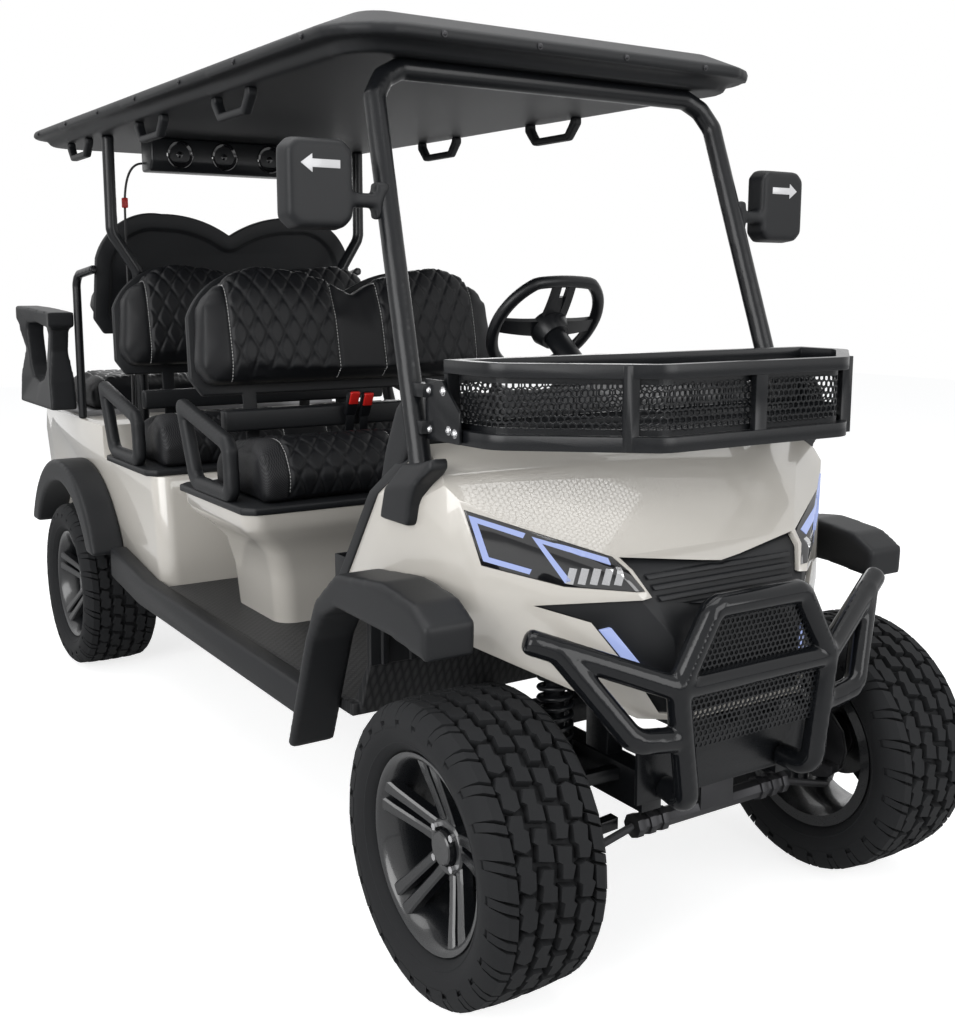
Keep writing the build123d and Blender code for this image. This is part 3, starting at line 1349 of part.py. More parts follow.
def pedestal_form(inset):
    """Pedestal volume from its side, end and plan views, drawn in by inset."""
    fronts = [(station(front) - inset, z) for z, front, rear, half in PEDESTAL_SECTIONS]
    rears = [(station(rear) + inset, z) for z, front, rear, half in PEDESTAL_SECTIONS]
    halves = [(half - inset, z) for z, front, rear, half in PEDESTAL_SECTIONS]
    top = PEDESTAL_SECTIONS[-1]
    with BuildPart() as form:
        add(side_slab(fronts + rears[::-1], -top[3], top[3]))
        with BuildSketch(Plane.YZ):
            with BuildLine():
                Polyline(*halves, *[(-half, z) for half, z in reversed(halves)], close=True)
            make_face()
        extrude(amount=OVERALL_LENGTH, both=True, mode=Mode.INTERSECT)
        with BuildSketch(Plane.XY):
            with Locations((station((top[1] + top[2]) / 2), 0)):
                plan = Rectangle(top[1] - top[2] - 2 * inset, 2 * (top[3] - inset))
            chamfer(plan.vertices(), PEDESTAL_CORNER)
        extrude(amount=PAN_LOW_Z, mode=Mode.INTERSECT)
    return form.part


with BuildPart() as front_pedestal:
    add(pedestal_form(0))
    add(pedestal_form(PEDESTAL_WALL), mode=Mode.SUBTRACT)
write(front_pedestal.part, "front_pedestal")

with BuildPart() as battery_pack:
    battery_mid = station(sum(BATTERY_AHEAD) / 2)
    with Locations((battery_mid, 0, FLOOR_TOP_Z + SEAT_GAP + BATTERY_HEIGHT / 2)):
        Box(BATTERY_AHEAD[0] - BATTERY_AHEAD[1], 2 * BATTERY_HALF, BATTERY_HEIGHT)
write(battery_pack.part, "battery_pack")

# Rear body with its wheel arches
REAR_BODY_WALL = 12.0
REAR_BODY_HALF = FLOOR_HALF_WIDTH
REAR_BODY_SIDE = [
    # ahead of the front axle, Z
    (-1700, FLOOR_TOP_Z + SEAT_GAP),
    (-1752, PAN_LOW_Z),
    (-2296, PAN_LOW_Z),
    (-2304, REAR_DECK_Z),
    (-3070, REAR_DECK_Z),
    (-3090, 800),
    (-2990, 500),
    (-2960, FLOOR_TOP_Z + SEAT_GAP),
]
ARCH_RADIUS = 372.0
FLIP_LUG = [
    # ahead of the front axle, above the rear deck
    (-3056, -12),
    (-3056, 6),
    (-3066, 24),
    (-3090, 24),
    (-3094, 2),
    (-3084, -30),
]
ARCH_INNER_Y = 362.0


def rear_body_form(inset):
    """Rear body volume, drawn in by inset at its front, top, rear and sides, and open below."""
    low = FLOOR_TOP_Z + SEAT_GAP
    with BuildPart() as form:
        with BuildSketch(Plane.XZ) as sketch:
            with BuildLine():
                Polyline(*[(station(x), z) for x, z in REAR_BODY_SIDE], close=True)
            make_face()
            if inset:
                offset(amount=-inset)
        extrude(amount=REAR_BODY_HALF - inset, both=True)
        if inset > 0:
            with Locations((station(-2320), 0, low)):
                Box(1180, 2 * (REAR_BODY_HALF - inset), 4 * inset)
    return form.part


def arch_cut(radius, inner_y):
    """Wheel-arch cylinders on both sides, from inner_y outwards."""
    with BuildPart() as cut:
        with BuildSketch(Plane.XZ.offset(-inner_y)):
            with Locations((REAR_AXLE_X, AXLE_Z)):
                RegularPolygon(radius, WHEEL_SIDES)
        extrude(amount=-300)
        mirror(about=Plane.XZ)
    return cut.part


with BuildPart() as rear_body:
    add(rear_body_form(0))
    add(rear_body_form(REAR_BODY_WALL), mode=Mode.SUBTRACT)
    add(arch_cut(ARCH_RADIUS + REAR_BODY_WALL, ARCH_INNER_Y - REAR_BODY_WALL))
    add(rear_body_form(0), mode=Mode.INTERSECT)
    add(arch_cut(ARCH_RADIUS, ARCH_INNER_Y), mode=Mode.SUBTRACT)
    hinge_lug = [(station(a), REAR_DECK_Z + z) for a, z in FLIP_LUG]
    for near_y, far_y in (FLIP_LUG_Y, (-FLIP_LUG_Y[1], -FLIP_LUG_Y[0])):
        add(side_slab(hinge_lug, near_y, far_y))
    with BuildSketch(Plane.XZ):
        with Locations((station(FLIP_AXIS[0]), FLIP_AXIS[1])):
            Circle(FLIP_PIN_RADIUS + PIN_CLEARANCE)
    extrude(amount=FLIP_LUG_Y[1] + 1, both=True, mode=Mode.SUBTRACT)
write(rear_body.part, "rear_body")

# Fender flares
FLARE_OUTER_Y = 650.0
FRONT_FLARE = [
    # ahead of the front axle, Z
    (62, 684),
    (66, 748),
    (10, 782),
    (-110, 798),
    (-300, 776),
    (-398, 700),
    (-452, 600),
    (-556, 330),
    (-528, 330),
    (-418, 604),
    (-368, 672),
    (-300, 706),
    (-60, 700),
]
FLARE_ARCH_INNER = 376.0
FLARE_ARCH_OUTER = 452.0
FLARE_ARCH_LOW_Z = 470.0
with BuildPart() as fender_flares:
    add(
        side_slab(
            [(station(a), z) for a, z in FRONT_FLARE], COWL_HALF_WIDTH + SEAT_GAP, FLARE_OUTER_Y
        )
    )
    with BuildSketch(Plane.XZ.offset(-(REAR_BODY_HALF + SEAT_GAP))):
        with Locations((REAR_AXLE_X, AXLE_Z)):
            Circle(FLARE_ARCH_OUTER)
            Circle(FLARE_ARCH_INNER, mode=Mode.SUBTRACT)
        with Locations((REAR_AXLE_X, FLARE_ARCH_LOW_Z - 500)):
            Rectangle(1400, 1000, mode=Mode.SUBTRACT)
    extrude(amount=-(FLARE_OUTER_Y - REAR_BODY_HALF - SEAT_GAP))
    mirror(about=Plane.XZ)
write(fender_flares.part, "fender_flares")

# Rear-facing bench: its back, the frame that holds it, and the flip-over cushion on the cargo deck
REAR_BACK_FOOT = (-2606, 1190)
REAR_BACK_LEAN = -7.0
REAR_POST_AHEAD = -2575.0
REAR_POST_Y = 532.0
REAR_POST_DIAMETER = 32.0
REAR_POST_TOP_Z = 1392.0
DECK_THICKNESS = 20.0
DECK_AHEAD = (-2640, -3062)
HINGE_STRAP_Y = (-320, 0, 320)
HINGE_STRAP_WIDTH = 60.0
FLIP_HALF_WIDTH = 500.0
FLIP_CUSHION_HEIGHT = 112.0
REAR_BACK_THICKNESS = 95.0

with BuildPart() as rear_seat_back:
    rear_plane = back_plane(REAR_BACK_FOOT[0], REAR_BACK_FOOT[1], REAR_BACK_LEAN)
    with BuildSketch(rear_plane):
        add(back_outline(SEAT_HALF_WIDTH - 10, BACK_HEIGHT + 50))
    extrude(amount=REAR_BACK_THICKNESS)
write(rear_seat_back.part, "rear_seat_back")

with BuildPart() as rear_shell:
    with BuildSketch(rear_plane.offset(REAR_BACK_THICKNESS + SEAT_GAP)):
        add(back_outline(SEAT_HALF_WIDTH - 10, BACK_HEIGHT + 50, 10))
    extrude(amount=SHELL_THICKNESS)
    for support_y in SUPPORT_Y:
        with BuildSketch(rear_plane.offset(REAR_BACK_THICKNESS + SEAT_GAP)):
            with Locations((support_y, -120)):
                Rectangle(SUPPORT_WIDTH, 460)
        extrude(amount=SUPPORT_THICKNESS)
    with Locations((station(REAR_BACK_FOOT[0]), 0, REAR_DECK_Z + SEAT_GAP - 200)):
        Box(900, 1400, 400, mode=Mode.SUBTRACT)
write(rear_shell.part, "rear_shell")

with BuildPart() as rear_frame:
    for side in (-1, 1):
        post = [
            (station(REAR_POST_AHEAD), side * REAR_POST_Y, REAR_DECK_Z + SEAT_GAP),
            (station(REAR_POST_AHEAD), side * REAR_POST_Y, REAR_POST_TOP_Z),
            (station(REAR_POST_AHEAD) + 160, side * (REAR_POST_Y - 20), REAR_POST_TOP_Z + 20),
        ]
        add(bent_tube(post, 50, REAR_POST_DIAMETER))
write(rear_frame.part, "rear_frame")

with BuildPart() as cargo_deck:
    deck_mid = station(sum(DECK_AHEAD) / 2)
    with Locations((deck_mid, 0, REAR_DECK_Z + SEAT_GAP + DECK_THICKNESS / 2)):
        Box(DECK_AHEAD[0] - DECK_AHEAD[1], 2 * FLIP_HALF_WIDTH, DECK_THICKNESS)
    strap_length = DECK_AHEAD[1] - FLIP_AXIS[0] + 8
    for strap_y in HINGE_STRAP_Y:
        with Locations((station(FLIP_AXIS[0]) + strap_length / 2, strap_y, FLIP_AXIS[1])):
            Box(strap_length, HINGE_STRAP_WIDTH, FLIP_PIN_RADIUS)
    with BuildSketch(Plane.XZ):
        with Locations((station(FLIP_AXIS[0]), FLIP_AXIS[1])):
            Circle(FLIP_PIN_RADIUS)
    extrude(amount=FLIP_LUG_Y[1], both=True)
write(cargo_deck.part, "cargo_deck")

flip_low = REAR_DECK_Z + DECK_THICKNESS + 2 * SEAT_GAP
flip_cushion = [
    (station(DECK_AHEAD[0]), flip_low),
    (station(DECK_AHEAD[0]), flip_low + FLIP_CUSHION_HEIGHT - 20),
    (station(DECK_AHEAD[0]) - 60, flip_low + FLIP_CUSHION_HEIGHT - 8),
    (station(DECK_AHEAD[1]) + 70, flip_low + FLIP_CUSHION_HEIGHT),
    (station(DECK_AHEAD[1]) + 16, flip_low + FLIP_CUSHION_HEIGHT - 24),
    (station(DECK_AHEAD[1]), flip_low + 40),
    (station(DECK_AHEAD[1]) + 10, flip_low),
]
write(side_slab(flip_cushion, -FLIP_HALF_WIDTH, FLIP_HALF_WIDTH), "rear_seat_cushion")

REAR_ARM_Y = (REAR_POST_Y + REAR_POST_DIAMETER / 2 + SEAT_GAP, 640)
REAR_ARM_LOOP = [
    # ahead of the front axle, Z
    (-2600, REAR_DECK_Z + 30),
    (-2560, 1262),
    (-3080, 1282),
    (-3060, REAR_DECK_Z + 30),
]
with BuildPart() as rear_armrests:
    loop = [(station(a), z) for a, z in REAR_ARM_LOOP]
    with BuildSketch(Plane.XZ.offset(-REAR_ARM_Y[0])) as arm_sketch:
        with BuildLine():
            Polyline(*loop, close=True)
        make_face()
        chamfer(arm_sketch.vertices(), 30)
        with Locations((station(-2825), 1120)):
            SlotOverall(250, 180, rotation=90, mode=Mode.SUBTRACT)
    extrude(amount=-(REAR_ARM_Y[1] - REAR_ARM_Y[0]))
    mirror(about=Plane.XZ)
write(rear_armrests.part, "rear_armrests")

# Footrest behind the rear bench, with its grab bar
FOOTREST_AHEAD = -2985.0
FOOTREST_HALF = 470.0
FOOTREST_THICKNESS = 20.0
GRAB_AHEAD = -3300.0
GRAB_HALF = 330.0
GRAB_TOP_Z = 660.0
with BuildPart() as rear_footrest:
    footrest_low = RAIL_TOP_Z + SEAT_GAP
    footrest_mid = (station(FOOTREST_AHEAD) + REAR_END_X) / 2
    with Locations((footrest_mid, 0, footrest_low + FOOTREST_THICKNESS / 2)):
        Box(station(FOOTREST_AHEAD) - REAR_END_X, 2 * FOOTREST_HALF, FOOTREST_THICKNESS)
    grab_low = footrest_low + FOOTREST_THICKNESS - 5
    grab = [
        (station(GRAB_AHEAD), GRAB_HALF, grab_low),
        (station(GRAB_AHEAD), GRAB_HALF, GRAB_TOP_Z),
        (station(GRAB_AHEAD), -GRAB_HALF, GRAB_TOP_Z),
        (station(GRAB_AHEAD), -GRAB_HALF, grab_low),
    ]
    add(bent_tube(grab, 60, REAR_POST_DIAMETER))
write(rear_footrest.part, "rear_footrest")

TAIL_LAMP_Y = 440.0
TAIL_LAMP_Z = 716.0
TAIL_LAMP_AHEAD = -3074.0
with BuildPart() as tail_lamps:
    with Locations((station(TAIL_LAMP_AHEAD), TAIL_LAMP_Y, TAIL_LAMP_Z)):
        Box(32, 120, 60)
    mirror(about=Plane.XZ)
    add(rear_body_form(-SEAT_GAP), mode=Mode.SUBTRACT)
write(tail_lamps.part, "tail_lamps")
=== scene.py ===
# %% [markdown]
# # A lifted six-seat utility cart
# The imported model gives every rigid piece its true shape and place. This lesson dresses that model: it
# smooths the moulded and welded pieces, stuffs the seats, cuts the treads and gives each surface its finish.
# Everything is in metres, with +X forward, +Y to the driver's side and +Z up.

import json
from math import ceil, cos, pi, radians, sin, sqrt, tan

import bmesh
import bpy
from mathutils import Matrix, Vector
from mathutils.bvhtree import BVHTree


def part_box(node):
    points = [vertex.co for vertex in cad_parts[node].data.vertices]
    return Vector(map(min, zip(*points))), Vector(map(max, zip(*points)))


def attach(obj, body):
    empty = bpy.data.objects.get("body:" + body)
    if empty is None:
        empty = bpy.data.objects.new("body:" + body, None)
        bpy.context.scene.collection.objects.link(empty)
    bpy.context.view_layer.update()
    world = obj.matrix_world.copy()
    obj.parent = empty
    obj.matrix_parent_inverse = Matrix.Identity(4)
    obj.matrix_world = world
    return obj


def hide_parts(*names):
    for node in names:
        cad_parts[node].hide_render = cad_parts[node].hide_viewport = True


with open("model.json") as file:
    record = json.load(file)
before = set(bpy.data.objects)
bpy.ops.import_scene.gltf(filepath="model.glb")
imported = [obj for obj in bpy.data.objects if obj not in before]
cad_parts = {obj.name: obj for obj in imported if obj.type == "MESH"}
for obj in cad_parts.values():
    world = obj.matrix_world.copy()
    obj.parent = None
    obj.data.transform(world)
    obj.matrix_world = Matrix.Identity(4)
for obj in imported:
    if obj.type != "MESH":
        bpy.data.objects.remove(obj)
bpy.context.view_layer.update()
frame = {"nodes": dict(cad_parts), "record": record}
FRONT_AXLE_X = 1.528
REAR_AXLE_X = -0.982
HALF_TRACK = 0.515
AXLE_Z = 0.292
CORNERS = {
    "front_left": (FRONT_AXLE_X, 1),
    "front_right": (FRONT_AXLE_X, -1),
    "rear_left": (REAR_AXLE_X, 1),
    "rear_right": (REAR_AXLE_X, -1),
}
body_of = {node: body for body, nodes in frame["record"]["behaviour"]["bodies"].items() for node in nodes}
print("packed nodes:", len(frame["nodes"]))


def station(ahead):
    """X of a place that lies this far, in metres, ahead of the front axle."""
    return FRONT_AXLE_X + ahead


def shown(name, data):
    """Object of that data, linked to the scene."""
    piece = bpy.data.objects.new(name, data)
    bpy.context.scene.collection.objects.link(piece)
    return piece


# %% [markdown]
# ## Camera
# The picture was taken from a little above waist height, ahead of the cart and to its right. The camera
# stands there and keeps its verticals upright, so the place and the aim are enough to set it.

# %% Set up the camera
CAMERA_PLACE = Vector((3.3846, -1.7007, 1.3477))
CAMERA_AIM = Vector((-0.8326, 0.5329, -0.1516))

camera_data = bpy.data.cameras.new("studio_camera")
camera_data.lens = 42.5
camera_data.sensor_width = 36.0
camera_data.shift_x = 0.0069
camera_data.shift_y = -0.0378
camera = shown("studio_camera", camera_data)
camera.location = CAMERA_PLACE
camera.rotation_euler = CAMERA_AIM.to_track_quat("-Z", "Y").to_euler()
bpy.context.scene.camera = camera
bpy.context.scene.view_settings.view_transform = "Standard"
print("camera aims along", tuple(CAMERA_AIM))

# %% [markdown]
# ## Arithmetic for finishes
# A finish is a small graph of shader nodes. Wiring nodes one by one hides what the graph works out, so a
# wrapped socket here takes part in ordinary Python sums, and each sum adds its own Math node.


# %% Wrap shader sockets for sums
class Wire:
    """One output socket of a finish, usable in Python arithmetic."""

    def __init__(self, finish, socket):
        self.finish = finish
        self.socket = socket

    def sums(self, operation, *values):
        """Adds a Math node of that operation on the given values."""
        return self.finish.node("ShaderNodeMath", {"operation": operation}, dict(enumerate(values)))

    def __add__(self, other):
        return self.sums("ADD", self, other)

    def __sub__(self, other):
        return self.sums("SUBTRACT", self, other)

    def __rsub__(self, other):
        return self.sums("SUBTRACT", other, self)

    def __mul__(self, other):
        return self.sums("MULTIPLY", self, other)

    def above(self, level):
        return self.sums("GREATER_THAN", self, level)

    def sine(self):
        return self.sums("SINE", self)

    def size(self):
        return self.sums("ABSOLUTE", self)

    __radd__ = __add__
    __rmul__ = __mul__


class Finish:
    """A material with one Principled shader, whose fixed values are set on the shader itself."""

    def __init__(self, name, **fixed):
        self.material = bpy.data.materials.new(name)
        self.material.use_nodes = True
        self.tree = self.material.node_tree
        self.shader = self.tree.nodes["Principled BSDF"]
        for socket, value in fixed.items():
            self.shader.inputs[socket.replace("_", " ")].default_value = value
        colour = fixed.get("Base_Color")
        if colour:
            self.material.diffuse_color = colour

    def node(self, kind, settings=None, inputs=None, output=0):
        """Adds one node: its settings first, then the values or wires of its sockets."""
        node = self.tree.nodes.new(kind)
        for name, value in (settings or {}).items():
            setattr(node, name, value)
        for key, value in (inputs or {}).items():
            if isinstance(value, Wire):
                self.tree.links.new(value.socket, node.inputs[key])
            else:
                node.inputs[key].default_value = value
        return Wire(self, node.outputs[output])

    def place(self):
        """Position on the piece, in metres."""
        return self.node("ShaderNodeTexCoord", output="Object")

    def noise(self, scale, detail=2.0, place=None):
        inputs = {"Vector": place or self.place(), "Scale": scale, "Detail": detail}
        return self.node("ShaderNodeTexNoise", inputs=inputs)

    def mix(self, share, first, second):
        """Blends two colours by a share from 0 to 1."""
        return self.node("ShaderNodeMix", {"data_type": "RGBA"}, {0: share, 6: first, 7: second}, output=2)

    def feed(self, socket, wire):
        """Links a wire to one of the shader's own sockets."""
        self.tree.links.new(wire.socket, self.shader.inputs[socket])

    def bump(self, height, distance, strength=1.0):
        """Raises the surface by a height from 0 to 1, times a distance in metres."""
        inputs = {"Height": height, "Distance": distance, "Strength": strength}
        self.feed("Normal", self.node("ShaderNodeBump", inputs=inputs))


print("shader sums ready")

# %% [markdown]
# ## Finishes of the hard pieces
# The body is sprayed in a warm champagne gloss under clear lacquer, with a fine flake and a trace of
# orange peel. Nearly all else is black, and the blacks differ by their gloss and grain: moulded plastic is
# satin with a leathery grain, powder coat is a little glossier with a fine pebble, and rubber is dull.

# %% Write the hard finishes
BLACK, CHARCOAL = (0.0045, 0.005, 0.006), (0.0075, 0.0082, 0.0096)
PAINT_DARK, PAINT_LIGHT = (0.47, 0.445, 0.405, 1.0), (0.51, 0.485, 0.44, 1.0)
PAINT_FLAKE = (0.66, 0.64, 0.60, 1.0)
# paler tone of the mat, strongest at the raised middle of each lozenge and black in the grooves
MAT_LOZENGE_PALE = (0.028, 0.028, 0.029, 1.0)
MAT_LATTICE = 150.0  # radians of the lattice to a metre
MAT_LAND = 0.35  # height above which the lattice stands proud


def grained(name, dark, light, roughness, grain_scale, grain_height, spread=0.08, **fixed):
    """Finish with a cloudy tint between two colours and a fine pebbled grain."""
    finish = Finish(name, Roughness=roughness, **fixed)
    cloud = finish.noise(5.0, 3.0)
    finish.feed("Base Color", finish.mix(cloud, (*dark, 1.0), (*light, 1.0)))
    grain = finish.noise(grain_scale, 2.0)
    finish.feed("Roughness", grain * spread + (roughness - spread / 2))
    finish.bump(grain, grain_height)
    return finish.material


def body_lacquer():
    """Champagne lacquer with a fine flake and a trace of orange peel."""
    finish = Finish("body_paint", Roughness=0.32, Coat_Weight=1.0, Coat_Roughness=0.03)
    flake = finish.noise(scale=1400.0, detail=1.0)
    cloud = finish.noise(scale=2.2, detail=2.0)
    tint = finish.mix(cloud, PAINT_DARK, PAINT_LIGHT)
    finish.feed("Base Color", finish.mix(flake * 0.25, tint, PAINT_FLAKE))
    finish.bump(finish.noise(scale=160.0, detail=1.0), distance=0.00003)
    return finish.material


def mat_rubber():
    """Black rubber mat with a raised lattice of small lozenges, paler towards their raised middles."""
    finish = Finish("floor_mat", Roughness=0.6, Specular_IOR_Level=0.35)
    place = finish.place()
    x, y = [finish.node("ShaderNodeSeparateXYZ", inputs={0: place}, output=axis) for axis in (0, 1)]
    lozenge = (((x + y) * MAT_LATTICE).sine() * ((x - y) * MAT_LATTICE).sine()).size()
    finish.feed("Base Color", finish.mix(lozenge, (*BLACK, 1.0), MAT_LOZENGE_PALE))
    finish.bump(lozenge.above(MAT_LAND), distance=0.0015)
    return finish.material


print("hard finishes written")

# %% [markdown]
# Each finish below is named for where it is used. The numbers after its two colours are its roughness, the
# number of grains to a metre and the height of the grain, and they are what tells one black from another.

# %% Mix the hard finishes
paint = body_lacquer()
mat = mat_rubber()
plastic = grained("satin_plastic", BLACK, CHARCOAL, 0.50, 900.0, 0.00012, Specular_IOR_Level=0.30)
smooth_plastic = grained("smooth_plastic", BLACK, CHARCOAL, 0.34, 700.0, 0.00004, Specular_IOR_Level=0.32)
powder = grained("powder_coat", BLACK, CHARCOAL, 0.28, 1500.0, 0.00005, Specular_IOR_Level=0.30)
bar_gloss = grained("bar_gloss", BLACK, CHARCOAL, 0.13, 900.0, 0.00003, Specular_IOR_Level=0.30)
alloy = grained("black_alloy", BLACK, CHARCOAL, 0.28, 900.0, 0.00003, Coat_Weight=0.4)
rubber = grained(
    "tyre_rubber",
    (0.0065, 0.007, 0.008),
    (0.012, 0.0125, 0.0135),
    0.80,
    420.0,
    0.0002,
    Specular_IOR_Level=0.25,
)
gloss_black = grained(
    "gloss_black", (0.004, 0.004, 0.005), (0.007, 0.007, 0.008), 0.08, 200.0, 0.00001, Coat_Weight=1.0
)
steel_dark = grained(
    "dark_steel", (0.02, 0.02, 0.022), (0.04, 0.04, 0.043), 0.45, 600.0, 0.00008, Metallic=0.6
)
bright = grained(
    "bright_steel", (0.52, 0.52, 0.53), (0.64, 0.64, 0.65), 0.26, 500.0, 0.00002, Metallic=1.0
)
deck_metal = grained(
    "deck_metal", (0.26, 0.26, 0.27), (0.34, 0.34, 0.35), 0.42, 300.0, 0.00004, Metallic=0.9
)
print("hard finishes:", len(bpy.data.materials))

# %% [markdown]
# ## From a mesh to a piece
# Shapes are built as editing meshes, then turned into plain ones. A piece is a plain mesh with a finish that
# rides on one moving body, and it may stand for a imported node, which is then hidden. Modifiers need an
# object to sit on, so a mesh is lent a loose object that goes away once they are applied.


# %% Turn meshes into pieces
def plain_mesh(mesh, name="plain"):
    """Mesh of a bmesh, which is freed."""
    data = bpy.data.meshes.new(name)
    mesh.to_mesh(data)
    mesh.free()
    return data


def finished(name, mesh, finish, body, replaces=()):
    """Turns a bmesh or a mesh into a piece that rides on a body and stands for the named nodes."""
    data = plain_mesh(mesh) if isinstance(mesh, bmesh.types.BMesh) else mesh
    data.name = name
    if finish is not None:
        data.materials.clear()
        data.materials.append(finish)
    piece = shown(name, data)
    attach(piece, body)
    if replaces:
        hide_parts(*replaces)
    return piece


def stand_in(node, way, mesh, finish):
    """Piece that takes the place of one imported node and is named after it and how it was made."""
    return finished(f"{node}_{way}", mesh, finish, body_of[node], (node,))


def fitted(name, mesh, finish):
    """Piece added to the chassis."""
    return finished(name, mesh, finish, "chassis")


def discard(piece):
    """Removes a helper object and its mesh."""
    data = piece.data
    bpy.data.objects.remove(piece)
    bpy.data.meshes.remove(data)


def applied(piece):
    """Plain mesh of a loose object with its modifiers applied; the object goes."""
    graph = bpy.context.evaluated_depsgraph_get()
    data = bpy.data.meshes.new_from_object(piece.evaluated_get(graph))
    discard(piece)
    return data


def loose_copy(mesh):
    """Object of a bmesh that is only there to carry modifiers."""
    return shown("loose", plain_mesh(mesh))


def sharpened(data, angle_deg):
    """Shades a mesh smooth, apart from the edges that turn by more than an angle."""
    data.shade_smooth()
    data.set_sharp_from_angle(angle=radians(angle_deg))
    return data


print("moving bodies:", sorted(set(body_of.values())))

# %% [markdown]
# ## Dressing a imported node
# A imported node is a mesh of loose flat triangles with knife-sharp edges. Real mouldings and welded tubes
# have a small radius on every edge, and that radius is what catches the light. A copy of the node is merged,
# its flat triangles are joined into whole faces, and a bevel of the right size rounds its edges.

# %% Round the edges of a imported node
MERGE_DISTANCE = 0.00002
FLAT_DEG = 0.8  # triangles that meet at a smaller angle are one flat face
BEVEL_DEG = 32  # edges that turn by more are bevelled
CREASE_DEG, BEVELLED_CREASE_DEG = 50, 40  # edges that turn by more are shaded sharp


def merged_copy(node):
    """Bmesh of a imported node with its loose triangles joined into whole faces."""
    mesh = bmesh.new()
    mesh.from_mesh(frame["nodes"][node].data)
    bmesh.ops.remove_doubles(mesh, verts=mesh.verts, dist=MERGE_DISTANCE)
    bmesh.ops.dissolve_limit(mesh, angle_limit=radians(FLAT_DEG), verts=mesh.verts, edges=mesh.edges)
    return mesh


def rounded(mesh, bevel, segments=2):
    """Plain mesh of a bmesh with its sharp edges bevelled and its faces shaded smooth."""
    piece = loose_copy(mesh)
    if bevel:
        edge = piece.modifiers.new("edge", "BEVEL")
        edge.width = bevel
        edge.segments = segments
        edge.limit_method = "ANGLE"
        edge.angle_limit = radians(BEVEL_DEG)
    return sharpened(applied(piece), BEVELLED_CREASE_DEG if bevel else CREASE_DEG)


def plain(mesh):
    """Smooth-shaded plain mesh of a bmesh, with no bevel."""
    return rounded(mesh, 0.0)


print("rounding ready")

# %% [markdown]
# The rear body is a large moulding, and its upright front corners have a radius that a bevel of all edges
# would be too small for. They are picked out and rounded first. Its rim is let down into the floor a little,
# so that no light shows under it.

# %% Dress the plain nodes
EASED = {
    # node: (radius of its upright corners, how far back they are rounded)
    "rear_body": (0.055, -0.50),
}
CORNER_SEGMENTS = 7
CORNER_RISE, CORNER_TURN = 0.03, 0.4  # least height in metres and least turn in radians of a corner
CORNER_Y = 0.38  # corners of the outside lie further out than this
RIM_REACH, RIM_SINK = 0.001, 0.006
DRESSING = {
    # node: (finish, bevel in metres)
    "front_cowl": (paint, 0.007),
    "rear_body": (paint, 0.008),
    "grille_panel": (plastic, 0.002),
    "rocker_panels": (plastic, 0.010),
    "wheel_liners": (plastic, 0.003),
    "floor_board": (mat, 0.004),
    "pedals": (smooth_plastic, 0.004),
    "sound_bar": (smooth_plastic, 0.008),
    "seat_pans": (plastic, 0.006),
    "seat_shells": (plastic, 0.006),
    "skid_plate": (powder, 0.003),
    "rear_footrest": (powder, 0.003),
    "basket_frame": (powder, 0.004),
    "basket_brackets": (powder, 0.002),
    "chassis_frame": (powder, 0.003),
    "front_arms": (powder, 0.002),
    "knuckle_left": (steel_dark, 0.001),
    "knuckle_right": (steel_dark, 0.001),
    "steering_rack": (steel_dark, 0.001),
    "rear_axle": (steel_dark, 0.002),
    "leaf_springs": (steel_dark, 0.002),
    "steering_column": (smooth_plastic, 0.003),
    "battery_pack": (plastic, 0.006),
    "cargo_deck": (deck_metal, 0.002),
}


def ease_corners(mesh, radius, back_x):
    """Rounds the upright corners of a hollow body ahead of a place, and lets its rim down into the floor."""
    corners = []
    for edge in mesh.edges:
        low, high = sorted((v.co for v in edge.verts), key=lambda co: co.z)
        upright = (high - low).normalized().z > 0.5 and high.z - low.z > CORNER_RISE
        outside = min(low.x, high.x) > back_x and abs(low.y) > CORNER_Y
        if upright and outside and len(edge.link_faces) == 2 and edge.calc_face_angle() > CORNER_TURN:
            corners.append(edge)
    bmesh.ops.bevel(
        mesh,
        geom=corners,
        offset=radius,
        segments=CORNER_SEGMENTS,
        profile=0.5,
        affect="EDGES",
        clamp_overlap=False,
    )
    floor_z = min(v.co.z for v in mesh.verts)
    for vert in mesh.verts:
        if vert.co.z < floor_z + RIM_REACH:
            vert.co.z -= RIM_SINK
    print("eased corners:", len(corners))


def dress(node, finish, bevel):
    """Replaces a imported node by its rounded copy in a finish."""
    mesh = merged_copy(node)
    if node in EASED:
        ease_corners(mesh, *EASED[node])
    return stand_in(node, "dressed", rounded(mesh, bevel), finish)


for node, (finish, bevel) in DRESSING.items():
    dress(node, finish, bevel)
print("dressed nodes:", len(DRESSING))

# %% [markdown]
# ## Thick mouldings and bent tubes
# The armrest loops, the flares and the canopy have no sharp edge anywhere: they are foamed or blow-moulded,
# and their corners melt into each other. Bent and welded tubes are as smooth. A voxel remesh makes an even
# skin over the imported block, and smoothing that skin rounds every edge at once, which a bevel can't do where
# many edges meet. Smoothing thins a tube, so some skins are swollen again. Few of the faces are needed once
# the skin is smooth, and the rest are thinned out.

# %% Melt the edges of thick mouldings
SKIN_SHARE = 0.4  # share of a skin's faces that is kept once it is smooth
MOULDED = {
    # node: (finish, cell of the skin in metres, rounds of smoothing, swelling in metres)
    "seat_armrests": (plastic, 0.005, 24, 0.005),
    "mirrors": (plastic, 0.004, 26, 0.0015),
    "fender_flares": (plastic, 0.007, 6, 0.0),
    "canopy": (plastic, 0.011, 4, 0.0),
    "roof_grips": (plastic, 0.003, 14, 0.0015),
    "bull_bar": (bar_gloss, 0.004, 22, 0.005),
    "front_hoop": (powder, 0.004, 20, 0.005),
    "rear_hoop": (powder, 0.004, 10, 0.0015),
    "rear_frame": (powder, 0.004, 6, 0.0),
}


